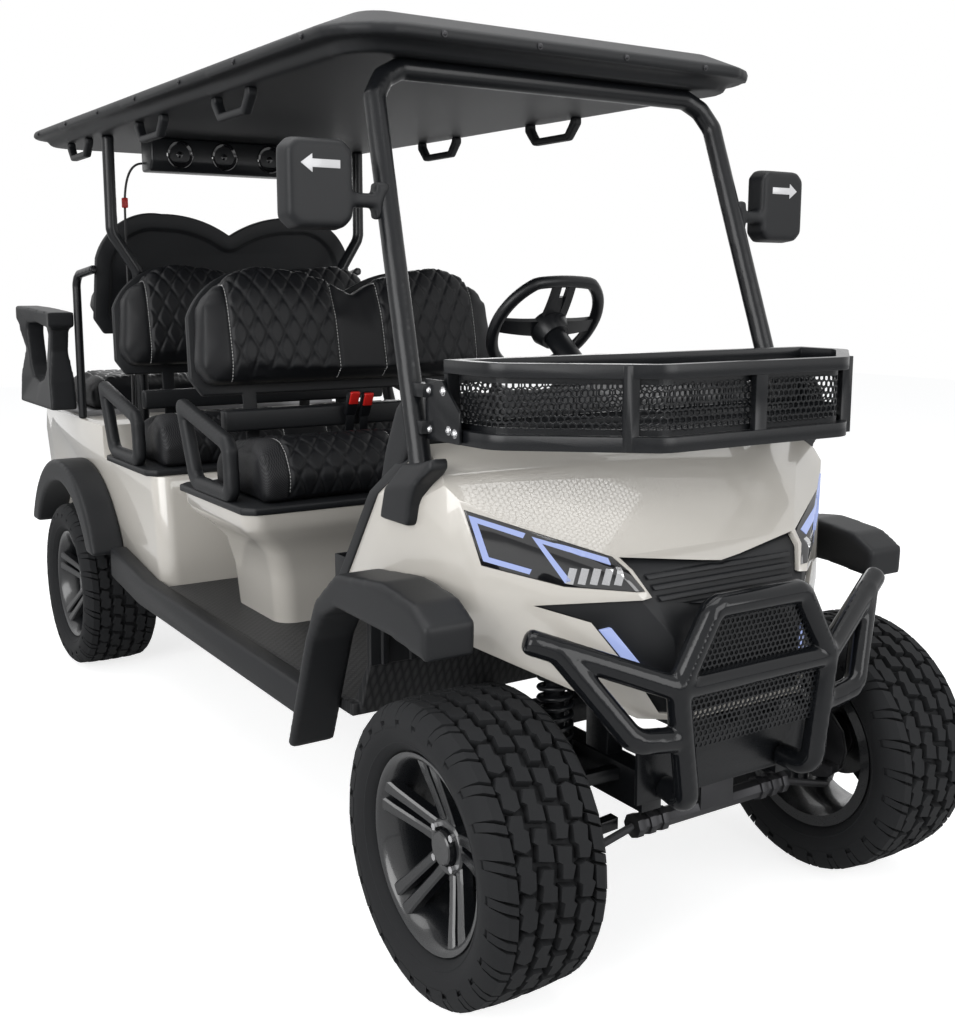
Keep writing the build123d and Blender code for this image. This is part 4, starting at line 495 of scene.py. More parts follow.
def melted(mesh, cell, ease, swell=0.0):
    """Plain mesh of a bmesh under an even skin, swollen a little, whose edges are smoothed round."""
    piece = loose_copy(mesh)
    skin = piece.modifiers.new("skin", "REMESH")
    skin.mode = "VOXEL"
    skin.voxel_size = cell
    smooth = piece.modifiers.new("smooth", "SMOOTH")
    smooth.iterations = ease
    if swell:
        grow = piece.modifiers.new("grow", "DISPLACE")
        grow.mid_level = 0.0
        grow.strength = swell
    thin = piece.modifiers.new("thin", "DECIMATE")
    thin.ratio = SKIN_SHARE
    data = applied(piece)
    data.shade_smooth()
    return data


for node, (finish, cell, ease, swell) in MOULDED.items():
    stand_in(node, "moulded", melted(merged_copy(node), cell, ease, swell), finish)
print("moulded nodes:", len(MOULDED))

# %% [markdown]
# ## Dashboard
# On the real cart the dashboard is deep only round the steering column. On the passenger's side it steps
# back to leave room for the knees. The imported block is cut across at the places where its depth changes, and
# its rear face is drawn forward towards the slanting edge of the cowl.

# %% Draw in the dashboard
COWL_REAR_EDGE = ((-0.240, 1.034), (-0.515, 0.650))  # upper and lower end: ahead of the front axle, Z
COWL_GAP = 0.0005
DASH_DEPTHS = [
    # Y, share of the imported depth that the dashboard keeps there
    (-0.505, 0.25),
    (-0.42, 0.36),
    (0.02, 0.42),
    (0.12, 1.0),
    (0.42, 1.0),
    (0.505, 0.30),
]


def cowl_rear_x(z):
    """X of the cowl's slanting rear edge at a height."""
    (top_ahead, top_z), (low_ahead, low_z) = COWL_REAR_EDGE
    return station(top_ahead + (low_ahead - top_ahead) * (top_z - z) / (top_z - low_z))


def dash_depth(y):
    """Share of its depth that the dashboard keeps at this place across."""
    for (near, first), (far, last) in zip(DASH_DEPTHS, DASH_DEPTHS[1:]):
        if y <= far + 0.0001:
            return first + (last - first) * max(0.0, (y - near) / (far - near))
    return DASH_DEPTHS[-1][1]


dash = merged_copy("dashboard")
for y, _ in DASH_DEPTHS[1:-1]:
    whole = dash.verts[:] + dash.edges[:] + dash.faces[:]
    bmesh.ops.bisect_plane(dash, geom=whole, plane_co=(0, y, 0), plane_no=(0, 1, 0))
for vert in dash.verts:
    edge_x = cowl_rear_x(vert.co.z) - COWL_GAP
    vert.co.x = edge_x - max(0.0, edge_x - vert.co.x) * dash_depth(vert.co.y)
stand_in("dashboard", "moulded", melted(dash, cell=0.007, ease=8), plastic)
print("dashboard cut at", len(DASH_DEPTHS) - 2, "places")

# %% [markdown]
# ## Skins over outlines
# Boots, armrests, tread blocks, spokes and tubes are all a skin drawn over a row of outlines that have the
# same number of points. One function draws it, and closes its ends or joins the last outline to the first.
# The boots at the foot of the pillars are the first use: a side outline at two distances from the middle.

# %% Draw skins, and mould the pillar boots
BOOT_SIDE = [
    # ahead of the front axle, Z
    (-0.212, 1.004),
    (-0.150, 1.012),
    (-0.100, 1.026),
    (-0.094, 1.008),
    (-0.132, 0.972),
    (-0.152, 0.930),
    (-0.160, 0.886),
    (-0.276, 0.886),
    (-0.256, 0.950),
]
BOOT_Y = (0.500, 0.558)
BOOT_TAPER, BOOT_TAPER_Z = 0.02, 1.0  # how far the outer face draws in, above a height


def loft(mesh, rings, capped=True, closed=False):
    """Adds a skin over rings of points to a bmesh, with its ends capped or joined to each other."""
    rows = [[mesh.verts.new(point) for point in ring] for ring in rings]
    pairs = list(zip(rows, rows[1:]))
    if closed:
        pairs.append((rows[-1], rows[0]))
    elif capped:
        mesh.faces.new(rows[0])
        mesh.faces.new(rows[-1])
    for low, high in pairs:
        for i in range(len(low)):
            mesh.faces.new((low[i - 1], low[i], high[i], high[i - 1]))
    bmesh.ops.recalc_face_normals(mesh, faces=mesh.faces)
    return mesh


boots = bmesh.new()
for side in (-1, 1):
    near = [(station(ahead), side * BOOT_Y[0], z) for ahead, z in BOOT_SIDE]
    taper = [BOOT_TAPER if z > BOOT_TAPER_Z else 0.0 for _, z in BOOT_SIDE]
    far = [(station(ahead), side * (BOOT_Y[1] - t), z) for (ahead, z), t in zip(BOOT_SIDE, taper)]
    loft(boots, [near, far])
stand_in("pillar_boots", "moulded", melted(boots, cell=0.005, ease=10), plastic)
print("boot points:", len(BOOT_SIDE))

# %% [markdown]
# ## Rear armrests
# Each armrest of the rear bench is a hollow-waisted tray that stands on edge, with a tall window through it
# and a broad pad on top. The outer line and the window have the same number of points, so four outlines,
# two of each, make a closed loop of skin.

# %% Mould the rear armrests
ARM_OUTSIDE = [
    # X, Z: front end of the pad, back along its top, down the rear leg, along the tray and up again
    (-1.040, 1.262),
    (-1.300, 1.274),
    (-1.548, 1.280),
    (-1.546, 1.226),
    (-1.508, 1.206),
    (-1.482, 1.120),
    (-1.506, 1.016),
    (-1.536, 0.912),
    (-1.300, 0.912),
    (-1.056, 0.912),
    (-1.070, 1.016),
    (-1.098, 1.120),
    (-1.076, 1.200),
    (-1.040, 1.212),
]
ARM_WINDOW = [
    (-1.140, 1.204),
    (-1.300, 1.222),
    (-1.436, 1.216),
    (-1.446, 1.206),
    (-1.450, 1.190),
    (-1.432, 1.120),
    (-1.418, 1.060),
    (-1.376, 1.016),
    (-1.296, 1.000),
    (-1.214, 1.016),
    (-1.166, 1.060),
    (-1.150, 1.120),
    (-1.128, 1.180),
    (-1.132, 1.194),
]
ARM_Y, ARM_LEG_Y = (0.5465, 0.640), (0.558, 0.622)
ARM_LEG_Z = (1.03, 1.205)  # between these heights the legs are slim

arms = bmesh.new()
for side in (-1, 1):
    rings = []
    for line, near in ((ARM_OUTSIDE, 0), (ARM_OUTSIDE, 1), (ARM_WINDOW, 1), (ARM_WINDOW, 0)):
        slim = [line is ARM_WINDOW or ARM_LEG_Z[0] < z < ARM_LEG_Z[1] for _, z in line]
        widths = [(ARM_LEG_Y if leg else ARM_Y)[near] for leg in slim]
        rings.append([(x, side * y, z) for (x, z), y in zip(line, widths)])
    loft(arms, rings, closed=True)
stand_in("rear_armrests", "moulded", melted(arms, cell=0.005, ease=9), plastic)
print("armrest points:", len(ARM_OUTSIDE) + len(ARM_WINDOW))

# %% [markdown]
# ## Pedestal of the front bench
# The pedestal is a painted moulding that flares out in a curve under the seat pan, with large round corners.
# It is a skin over one rounded rectangle for each height. The shell of the rear bench, which follows, has a
# shallow dish pressed into its back: its broadest face is inset twice, and the second time sunk.

# %% Loft the pedestal and dish the rear shell
PEDESTAL_LEVELS = [
    # Z, front and rear ahead of the front axle, half width
    (0.4346, -1.108, -1.440, 0.415),
    (0.5600, -1.096, -1.446, 0.426),
    (0.6400, -1.078, -1.455, 0.448),
    (0.6850, -1.048, -1.471, 0.490),
    (0.7150, -1.018, -1.487, 0.528),
    (0.7400, -1.004, -1.497, 0.544),
    (0.7697, -1.000, -1.500, 0.548),
]
PEDESTAL_CORNER, CORNER_STEPS = 0.055, 8
SHELL_RIM, SHELL_STEP, SHELL_DISH = 0.052, 0.010, 0.012


def rounded_plan(front, rear, half, radius, steps):
    """Points of a rectangle with round corners, seen from above, anticlockwise from its front left."""
    points = []
    for quarter, (x, y) in enumerate(((front, half), (rear, half), (rear, -half), (front, -half))):
        centre_x, centre_y = x - radius * (1 if x == front else -1), y - radius * (1 if y > 0 else -1)
        for step in range(steps + 1):
            angle = (quarter + step / steps) * pi / 2
            points.append((centre_x + radius * cos(angle), centre_y + radius * sin(angle)))
    return points


levels = []
for z, front, rear, half in PEDESTAL_LEVELS:
    plan = rounded_plan(station(front), station(rear), half, PEDESTAL_CORNER, CORNER_STEPS)
    levels.append([(x, y, z) for x, y in plan])
stand_in("front_pedestal", "lofted", plain(loft(bmesh.new(), levels)), paint)

shell = merged_copy("rear_shell")
broad = max(shell.faces, key=lambda f: f.calc_area() * (f.normal.x > 0.5))
bmesh.ops.inset_region(shell, faces=[broad], thickness=SHELL_RIM, depth=0.0)
bmesh.ops.inset_region(shell, faces=[broad], thickness=SHELL_STEP, depth=-SHELL_DISH)
stand_in("rear_shell", "dished", rounded(shell, 0.006, 3), plastic)
print("pedestal levels:", len(levels))

# %% [markdown]
# ## Recipes that repeat a shape
# Tread blocks, wheel nuts, perforations, screws and stitches are one small shape repeated by a rule.
# Geometry Nodes hold such a rule as a tree with named sizes. Each tree here ends in plain geometry with its
# finish set, and the result is turned into an ordinary mesh, because a later export would drop the copies.


# %% Wrap Geometry Nodes trees
class Recipe:
    """A Geometry Nodes tree with named inputs."""

    def __init__(self, name, **inputs):
        self.tree = bpy.data.node_groups.new(name, "GeometryNodeTree")
        self.tree.interface.new_socket("Geometry", in_out="OUTPUT", socket_type="NodeSocketGeometry")
        self.names = {}
        for label, kind in inputs.items():
            socket = self.tree.interface.new_socket(label, in_out="INPUT", socket_type=f"NodeSocket{kind}")
            self.names[label] = socket.identifier
        self.given = self.tree.nodes.new("NodeGroupInput")

    def node(self, kind, settings=None, inputs=None, output=0):
        """Adds one node: its settings first, then the values or links of its sockets."""
        node = self.tree.nodes.new(kind)
        for name, value in (settings or {}).items():
            setattr(node, name, value)
        for key, value in (inputs or {}).items():
            if isinstance(value, bpy.types.NodeSocket):
                self.tree.links.new(value, node.inputs[key])
            else:
                node.inputs[key].default_value = value
        return node.outputs[output]

    def sums(self, operation, *values):
        return self.node("ShaderNodeMath", {"operation": operation}, dict(enumerate(values)))

    def geometry_of(self, label):
        """Geometry of the object that is given under a label."""
        given = {"Object": self.given.outputs[label]}
        return self.node("GeometryNodeObjectInfo", inputs=given, output="Geometry")

    def copies(self, points, shape, **turned):
        """Sets a shape on every point and closes the tree: real geometry in the given finish."""
        inputs = {"Points": points, "Instance": shape, **turned}
        instances = self.node("GeometryNodeInstanceOnPoints", inputs=inputs)
        real = self.node("GeometryNodeRealizeInstances", inputs={0: instances})
        finish = self.given.outputs["Finish"]
        coloured = self.node("GeometryNodeSetMaterial", inputs={0: real, "Material": finish})
        self.tree.links.new(coloured, self.tree.nodes.new("NodeGroupOutput").inputs[0])
        return self

    def run(self, **values):
        """Plain mesh that the tree makes from these values."""
        piece = shown("recipe", bpy.data.meshes.new("recipe"))
        growth = piece.modifiers.new("growth", "NODES")
        growth.node_group = self.tree
        for label, value in values.items():
            growth[self.names[label]] = value
        return applied(piece)


print("recipes can be written")

# %% [markdown]
# Three rules are enough for most of the cart. One turns copies about an axle, one sets a copy on each marked
# point so that it stands out the way the point faces, and one lays copies in staggered rows.

# %% Write the recipes
ROW_SHARE = sqrt(3) / 2  # distance between staggered rows, as a share of the pitch


def turning_recipe():
    """Copies a shape about the Y axis, evenly spaced."""
    recipe = Recipe("copies_about_axle", Shape="Object", Count="Int", Phase="Float", Finish="Material")
    given = recipe.given.outputs
    points = recipe.node("GeometryNodePoints", inputs={"Count": given["Count"]})
    step = recipe.sums("DIVIDE", 2 * pi, given["Count"])
    angle = recipe.sums("MULTIPLY_ADD", recipe.node("GeometryNodeInputIndex"), step, given["Phase"])
    euler = recipe.node("ShaderNodeCombineXYZ", inputs={"Y": angle})
    turn = recipe.node("FunctionNodeEulerToRotation", inputs={0: euler})
    return recipe.copies(points, recipe.geometry_of("Shape"), Rotation=turn)


def scatter_recipe():
    """Copies a shape to each point of the base, turned so that its Z follows the way the point faces."""
    recipe = Recipe("copies_on_points", Base="Object", Shape="Object", Finish="Material")
    facing = recipe.node("GeometryNodeInputNamedAttribute", {"data_type": "FLOAT_VECTOR"}, {"Name": "facing"})
    turn = recipe.node("FunctionNodeAlignRotationToVector", {"axis": "Z"}, {"Vector": facing})
    return recipe.copies(recipe.geometry_of("Base"), recipe.geometry_of("Shape"), Rotation=turn)


def piercing_recipe():
    """Lays a pierced cell in staggered rows, as in perforated sheet."""
    inputs = {"Cell": "Object", "Columns": "Int", "Rows": "Int", "Pitch": "Float", "Finish": "Material"}
    recipe = Recipe("pierced_sheet", **inputs)
    given = recipe.given.outputs
    width = recipe.sums("MULTIPLY", recipe.sums("SUBTRACT", given["Columns"], 1), given["Pitch"])
    row_pitch = recipe.sums("MULTIPLY", given["Pitch"], ROW_SHARE)
    height = recipe.sums("MULTIPLY", recipe.sums("SUBTRACT", given["Rows"], 1), row_pitch)
    sizes = {"Size X": width, "Size Y": height}
    counts = {"Vertices X": given["Columns"], "Vertices Y": given["Rows"]}
    grid = recipe.node("GeometryNodeMeshGrid", inputs={**sizes, **counts})
    row = recipe.sums("FLOORED_MODULO", recipe.node("GeometryNodeInputIndex"), given["Rows"])
    odd = recipe.sums("FLOORED_MODULO", row, 2.0)
    shift = recipe.sums("MULTIPLY", odd, recipe.sums("MULTIPLY", given["Pitch"], 0.5))
    offset = recipe.node("ShaderNodeCombineXYZ", inputs={"X": shift})
    rows = recipe.node("GeometryNodeSetPosition", inputs={"Geometry": grid, "Offset": offset})
    return recipe.copies(rows, recipe.geometry_of("Cell"))


def pattern(mesh):
    """Object that a recipe copies; it isn't in the scene, and discard removes it."""
    return bpy.data.objects.new("pattern", plain_mesh(mesh))


turning = turning_recipe()
scatter = scatter_recipe()
piercing = piercing_recipe()
print("recipes:", [r.tree.name for r in (turning, scatter, piercing)])

# %% [markdown]
# ## Tyres
# The tyres are all-terrain ones: a rounded carcass under four rows of chunky blocks that key into each
# other, with long and short blocks by turns wrapped over each shoulder. The carcass is a profile spun about
# the axle, so only half of its outline has to be given.

# %% Spin the carcass
CARCASS = [
    # half width, radius
    (0.0, 0.2755),
    (0.060, 0.2750),
    (0.098, 0.2720),
    (0.114, 0.2640),
    (0.1215, 0.2520),
    (0.1222, 0.2495),
    (0.1255, 0.2480),
    (0.1262, 0.2380),
    (0.1240, 0.2260),
    (0.1180, 0.2130),
    (0.1185, 0.2105),
    (0.1120, 0.2020),
    (0.1020, 0.1945),
    (0.0953, 0.1930),
    (0.0950, 0.1790),
]
CARCASS_SEGMENTS = 96


def spun(profile, segments):
    """Bmesh of a closed (y, radius) profile spun about the Y axis."""
    rings = []
    for turn in range(segments):
        angle = 2 * pi * turn / segments
        rings.append([(r * sin(angle), y, r * cos(angle)) for y, r in profile])
    return loft(bmesh.new(), rings, closed=True)


def mirrored_profile(half):
    """Closed profile from its outer half, given from the middle plane outwards and in to the bead."""
    return half + [(-y, r) for y, r in reversed(half) if y]


tyre_meshes = [plain_mesh(spun(mirrored_profile(CARCASS), CARCASS_SEGMENTS))]
print("carcass faces:", len(tyre_meshes[0].polygons))

# %% [markdown]
# A tread block is a stepped outline drawn up from the carcass and in a little towards its top, as rubber has
# to be to leave its mould. The crown of the tyre drops towards its edges, and so do the blocks.

# %% Shape the tread blocks
TREAD_TOP = 0.2915
TREAD_COUNT = 26
CENTRE_BLOCK = [
    # along, across: a stepped block that keys into its neighbours
    (-0.031, 0.005),
    (-0.004, 0.002),
    (0.003, 0.011),
    (0.029, 0.008),
    (0.034, 0.030),
    (0.012, 0.041),
    (0.005, 0.033),
    (-0.023, 0.037),
]
OUTER_BLOCK = [
    (-0.028, 0.047),
    (0.002, 0.043),
    (0.009, 0.051),
    (0.031, 0.049),
    (0.036, 0.071),
    (0.013, 0.083),
    (0.005, 0.076),
    (-0.021, 0.080),
    (-0.033, 0.061),
]
TREAD_ROWS = [
    # block, side that it stands on, phase in pitches
    (CENTRE_BLOCK, 1, 0.0),
    (CENTRE_BLOCK, -1, 0.5),
    (OUTER_BLOCK, 1, 0.42),
    (OUTER_BLOCK, -1, 0.92),
]
SHOULDER_BLOCKS = [
    # phase in pitches, half length, reach down the sidewall as a radius
    (0.0, 0.0225, 0.242),
    (0.5, 0.0080, 0.257),
]
BLOCK_DRAFT = 0.0018
SHOULDER_SKEW = 0.45
BLOCK_LEVELS = [
    # radius, how far the outline is drawn in there
    (0.268, -0.001),
    (TREAD_TOP - 0.003, 0.001),
    (TREAD_TOP, BLOCK_DRAFT),
]
CROWN_DROP, CROWN_HALF_WIDTH = 0.0045, 0.11
SHOULDER_SECTION = [
    # Y, radius, from the tread outwards
    (0.084, 0.270),
    (0.084, 0.2888),
    (0.104, 0.2872),
    (0.1165, 0.2770),
    (0.1262, 0.2600),
]
SHOULDER_TOP, SHOULDER_NARROWING = 0.28, 0.92  # beyond this radius a block keeps this share of its length
SHOULDER_MIDDLE_Y, SHOULDER_PHASE = 0.105, 0.25


def tread_block(block, side):
    """One block on the crown of the tyre, drafted in towards its top."""
    outline = [Vector((side * along, side * across)) for along, across in block]
    centre = sum(outline, Vector((0, 0))) / len(outline)
    levels = []
    for height, draft in BLOCK_LEVELS:
        ring = []
        for spot in outline:
            drawn_in = spot - (spot - centre).normalized() * draft
            ring.append((*drawn_in, height - CROWN_DROP * (spot.y / CROWN_HALF_WIDTH) ** 2))
        levels.append(ring)
    return loft(bmesh.new(), levels)


def shoulder_block(half_length, low_radius, side):
    """Block that runs from the outer tread over the shoulder on to the sidewall."""
    section = SHOULDER_SECTION + [(0.1268, low_radius), (0.1190, low_radius - 0.002), (0.110, 0.262)]
    ends = []
    for along in (-half_length, half_length):
        ring = []
        for y, r in section:
            narrowed = along * (1.0 if r < SHOULDER_TOP else SHOULDER_NARROWING)
            ring.append((narrowed + side * SHOULDER_SKEW * (y - SHOULDER_MIDDLE_Y), side * y, r))
        ends.append(ring)
    return loft(bmesh.new(), ends)


print("rows of blocks:", len(TREAD_ROWS), "and", 2 * len(SHOULDER_BLOCKS), "on the shoulders")

# %% [markdown]
# Each row is one block repeated round the axle. The rows and the carcass are joined into one tyre about the
# origin, and its copies are set on the four wheels, turned so that the outer side faces out.

# %% Cut the tread and fit the tyres
TYRE_CREASE_DEG = 28


def joined(meshes):
    """One bmesh from several plain meshes, which are removed."""
    whole = bmesh.new()
    for data in meshes:
        whole.from_mesh(data)
        bpy.data.meshes.remove(data)
    return whole


def ring_of(mesh, count, phase_pitches, finish):
    """Copies of a shape about the axle, as a plain mesh."""
    shape = pattern(mesh)
    data = turning.run(Shape=shape, Count=count, Phase=phase_pitches * 2 * pi / count, Finish=finish)
    discard(shape)
    return data


def on_wheel(data, corner):
    """Copy of a mesh made about the origin, its outer side +Y, set on one wheel."""
    axle_x, side = CORNERS[corner]
    copy = data.copy()
    turn = Matrix.Rotation(0 if side > 0 else pi, 4, "Z")
    copy.transform(Matrix.Translation((axle_x, side * HALF_TRACK, AXLE_Z)) @ turn)
    return copy


for block, side, phase in TREAD_ROWS:
    tyre_meshes.append(ring_of(tread_block(block, side), TREAD_COUNT, phase, rubber))
for side in (-1, 1):
    for phase, half_length, low_radius in SHOULDER_BLOCKS:
        block = shoulder_block(half_length, low_radius, side)
        tyre_meshes.append(ring_of(block, TREAD_COUNT, phase + side * SHOULDER_PHASE, rubber))
tyre_data = sharpened(plain_mesh(joined(tyre_meshes)), TYRE_CREASE_DEG)
for corner in CORNERS:
    stand_in(f"tyre_{corner}", "tread", on_wheel(tyre_data, corner), rubber)
print("tyre faces:", len(tyre_data.polygons))
bpy.data.meshes.remove(tyre_data)

# %% [markdown]
# ## Rims
# Each wheel is cast and painted satin black: a barrel with a rolled lip, and five pairs of slim spokes that
# run from the hub out to the lip. The barrel and hub are spun, one pair of spokes is shaped from listed
# stations, and the pairs and the wheel nuts are repeated about the axle.

# %% Spin the barrel and set the spokes
BARREL = [
    # y, radius: the outer face is +Y
    (-0.1033, 0.1905),
    (-0.1033, 0.1660),
    (-0.060, 0.1560),
    (0.030, 0.1540),
    (0.070, 0.1620),
    (0.088, 0.1720),
    (0.0985, 0.1775),
    (0.1033, 0.1850),
    (0.1033, 0.1905),
    (0.0960, 0.1905),
    (0.0955, 0.1775),
    (-0.0955, 0.1775),
    (-0.0960, 0.1905),
]
HUB = [
    (0.0200, 0.0185),
    (0.0200, 0.0950),
    (0.0270, 0.0950),
    (0.0270, 0.0580),
    (0.0500, 0.0560),
    (0.0540, 0.0520),
    (0.0540, 0.0400),
    (0.0480, 0.0380),
    (0.0480, 0.0350),
    (0.0640, 0.0330),
    (0.0665, 0.0300),
    (0.0660, 0.0010),
    (0.0460, 0.0010),
    (0.0460, 0.0185),
]
SPOKE_STATIONS = [
    # radius, face y, thickness, half spread of the pair, half width of one spoke
    (0.044, 0.0500, 0.026, 0.0150, 0.0120),
    (0.075, 0.0600, 0.026, 0.0165, 0.0110),
    (0.115, 0.0745, 0.026, 0.0185, 0.0115),
    (0.150, 0.0880, 0.026, 0.0205, 0.0128),
    (0.181, 0.0985, 0.024, 0.0225, 0.0150),
]
NUT_RADIUS = 0.044
NUT_SIZE = (0.0095, 0.0075, 0.014)  # radius at its foot and at its top, height
NUT_Y, NUT_COUNT = 0.056, 4
SPOKE_PAIRS, SPOKE_CHAMFER = 5, 0.004
BARREL_SEGMENTS, HUB_SEGMENTS = 96, 48
RIM_CREASE_DEG = 35


def spoke_pair():
    """Two slim spokes side by side, from the hub up to the lip, with their face edges chamfered."""
    mesh = bmesh.new()
    for side in (-1, 1):
        rings = []
        for radius, face, thick, spread, half in SPOKE_STATIONS:
            a, b = side * spread - half, side * spread + half
            low, edge = face - thick, face - SPOKE_CHAMFER
            section = [(a, low), (a, edge), (a + SPOKE_CHAMFER, face)]
            section += [(b - SPOKE_CHAMFER, face), (b, edge), (b, low)]
            rings.append([(x, y, radius) for x, y in section])
        loft(mesh, rings)
    return mesh


def wheel_nut():
    """Tapered six-sided nut on the hub face."""
    mesh = bmesh.new()
    foot, top, height = NUT_SIZE
    bmesh.ops.create_cone(mesh, cap_ends=True, segments=6, radius1=foot, radius2=top, depth=height)
    mesh.transform(Matrix.Translation((0, NUT_Y, NUT_RADIUS)) @ Matrix.Rotation(-pi / 2, 4, "X"))
    return mesh


rim_meshes = [plain_mesh(spun(BARREL, BARREL_SEGMENTS)), plain_mesh(spun(HUB, HUB_SEGMENTS))]
rim_meshes.append(ring_of(spoke_pair(), SPOKE_PAIRS, 0.0, alloy))
rim_data = sharpened(plain_mesh(joined(rim_meshes)), RIM_CREASE_DEG)
nuts_data = ring_of(wheel_nut(), NUT_COUNT, 0.5, bright)
for corner in CORNERS:
    stand_in(f"rim_{corner}", "cast", on_wheel(rim_data, corner), alloy)
    finished(f"nuts_{corner}", on_wheel(nuts_data, corner), bright, f"wheel_{corner}")
print("rim faces:", len(rim_data.polygons))
for data in (rim_data, nuts_data):
    bpy.data.meshes.remove(data)

# %% [markdown]
# ## Seat covers
# Each bench is foam under vinyl: a diamond-quilted panel for each seat between two stitched seams, a plain
# band in the middle, and on the cushions a bolster of woven-look vinyl at each end. The vinyl is one finish:
# an attribute on the mesh says where the bolsters are, and the weave shows only there.

# %% Mix the vinyl
WEAVE = 900.0  # radians of the weave to a metre
VINYL_DARK, VINYL_LIGHT = (0.0042, 0.0045, 0.0054, 1.0), (0.0068, 0.0072, 0.0084, 1.0)
WOVEN_LIGHT = (0.030, 0.030, 0.032, 1.0)


def vinyl_cover():
    """Black vinyl with a leather grain, and a woven look on the bolsters."""
    finish = Finish("seat_vinyl", Roughness=0.46, Specular_IOR_Level=0.22)
    bolster = finish.node("ShaderNodeAttribute", {"attribute_name": "bolster"}, output="Fac")
    place = finish.place()
    axes = [finish.node("ShaderNodeSeparateXYZ", inputs={0: place}, output=axis) for axis in range(3)]
    weave = ((axes[0] + axes[2]) * WEAVE).sine() * (axes[1] * WEAVE).sine()
    woven = bolster * weave.above(0.0)
    cloud = finish.noise(6.0, 3.0, place)
    finish.feed("Base Color", finish.mix(woven, finish.mix(cloud, VINYL_DARK, VINYL_LIGHT), WOVEN_LIGHT))
    grain = finish.node("ShaderNodeTexVoronoi", inputs={"Vector": place, "Scale": 420.0})
    finish.feed("Roughness", grain * 0.10 + 0.40 + bolster * 0.06)
    finish.bump(grain + woven * 0.6, 0.00035, 0.6)
    return finish.material


vinyl = vinyl_cover()
print("vinyl mixed")

# %% [markdown]
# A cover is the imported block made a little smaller, remeshed as cloth and filled with air for twenty frames,
# which gives the bulge that a stuffed cover has. Each seat is worked on in its own axes, across, along and
# out of its face, so that leaning backs and level cushions are handled alike.

# %% Cut and fill the covers
COVER_CELL = 0.016
COVER_SHRINK = 0.012
COVER_EASE = 4
FILL_CAP = 0.026
FILL_FRAMES = 20
FILL_MARGIN = Vector((0.002, 0.012, 0.016))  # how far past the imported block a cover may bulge
BASE_HEIGHT, BASE_FADE = 0.035, 0.02  # below this height the base stays flat, fading in


def back_axes(lean_deg, facing=1):
    """Directions up a leaning seat back and out of its face."""
    lean = radians(lean_deg)
    return Vector((-sin(lean), 0, cos(lean))), Vector((cos(lean), 0, sin(lean))) * facing


FORWARD, REARWARD, UPWARD = Vector((1, 0, 0)), Vector((-1, 0, 0)), Vector((0, 0, 1))
SEATS = {
    # node: direction along the panel, direction out of its face
    "front_seat_back": back_axes(11),
    "middle_seat_back": back_axes(10),
    "rear_seat_back": back_axes(-7, -1),
    "front_seat_cushion": (FORWARD, UPWARD),
    "middle_seat_cushion": (FORWARD, UPWARD),
    "rear_seat_cushion": (REARWARD, UPWARD),
}


def extent(points):
    """Lowest and highest corner of a set of points."""
    low = Vector([min(p[axis] for p in points) for axis in range(3)])
    high = Vector([max(p[axis] for p in points) for axis in range(3)])
    return low, high


def cover_start(node, axes):
    """Loose object of a packed block in its seat's own axes, shrunk on to its base and remeshed."""
    mesh = merged_copy(node)
    mesh.transform(axes.inverted())
    low, high = extent([v.co for v in mesh.verts])
    middle = (low + high) / 2
    for vert in mesh.verts:
        for axis in (0, 1):
            half = (high[axis] - low[axis]) / 2
            vert.co[axis] = middle[axis] + (vert.co[axis] - middle[axis]) * (half - COVER_SHRINK) / half
        depth = high[2] - low[2]
        vert.co[2] = low[2] + (vert.co[2] - low[2]) * (depth - COVER_SHRINK) / depth
    bmesh.ops.recalc_face_normals(mesh, faces=mesh.faces)
    piece = loose_copy(mesh)
    skin = piece.modifiers.new("skin", "REMESH")
    skin.mode = "VOXEL"
    skin.voxel_size = COVER_CELL
    ease = piece.modifiers.new("ease", "SMOOTH")
    ease.iterations = COVER_EASE
    return shown("cover", applied(piece)), low, high


def filled_points(piece):
    """Where the points of a closed cover come to lie once air has filled it."""
    cloth = piece.modifiers.new("filling", "CLOTH")
    cloth.settings.quality = 4
    cloth.settings.use_pressure = True
    cloth.settings.uniform_pressure_force = 4.0
    cloth.settings.bending_stiffness = 0.8
    cloth.settings.effector_weights.gravity = 0.0
    for frame_number in range(1, FILL_FRAMES + 1):
        bpy.context.scene.frame_set(frame_number)
    graph = bpy.context.evaluated_depsgraph_get()
    points = [v.co.copy() for v in piece.evaluated_get(graph).data.vertices]
    piece.modifiers.remove(cloth)
    bpy.context.scene.frame_set(1)
    return points


def fill_cover(piece, low, high):
    """Moves each point of a cover to its filled place, but no further than the cap, with a flat base."""
    targets = filled_points(piece)
    for vert, target in zip(piece.data.vertices, targets):
        move = target - vert.co
        if move.length > FILL_CAP:
            move *= FILL_CAP / move.length
        flat = max(0.0, min(1.0, (BASE_HEIGHT - (vert.co.z - low.z)) / BASE_FADE))
        move.z *= 1 - flat
        place = vert.co + move
        for axis in range(3):
            floor = low[axis] if axis == 2 else low[axis] - FILL_MARGIN[axis]
            place[axis] = max(floor, min(high[axis] + FILL_MARGIN[axis], place[axis]))
        vert.co = place
    finer = piece.modifiers.new("finer", "SUBSURF")
    finer.levels = finer.render_levels = 1
    return applied(piece)


print("covers to fill:", len(SEATS))

# %% [markdown]
# The quilting is pressed into the filled cover. Where a panel lies, the faces are split once more, and each
# point goes in or out along its normal: two crossing sine waves give the diamonds, and a narrow groove
# gives the seam down each side. On a cushion the panel runs on down the rolled front edge.

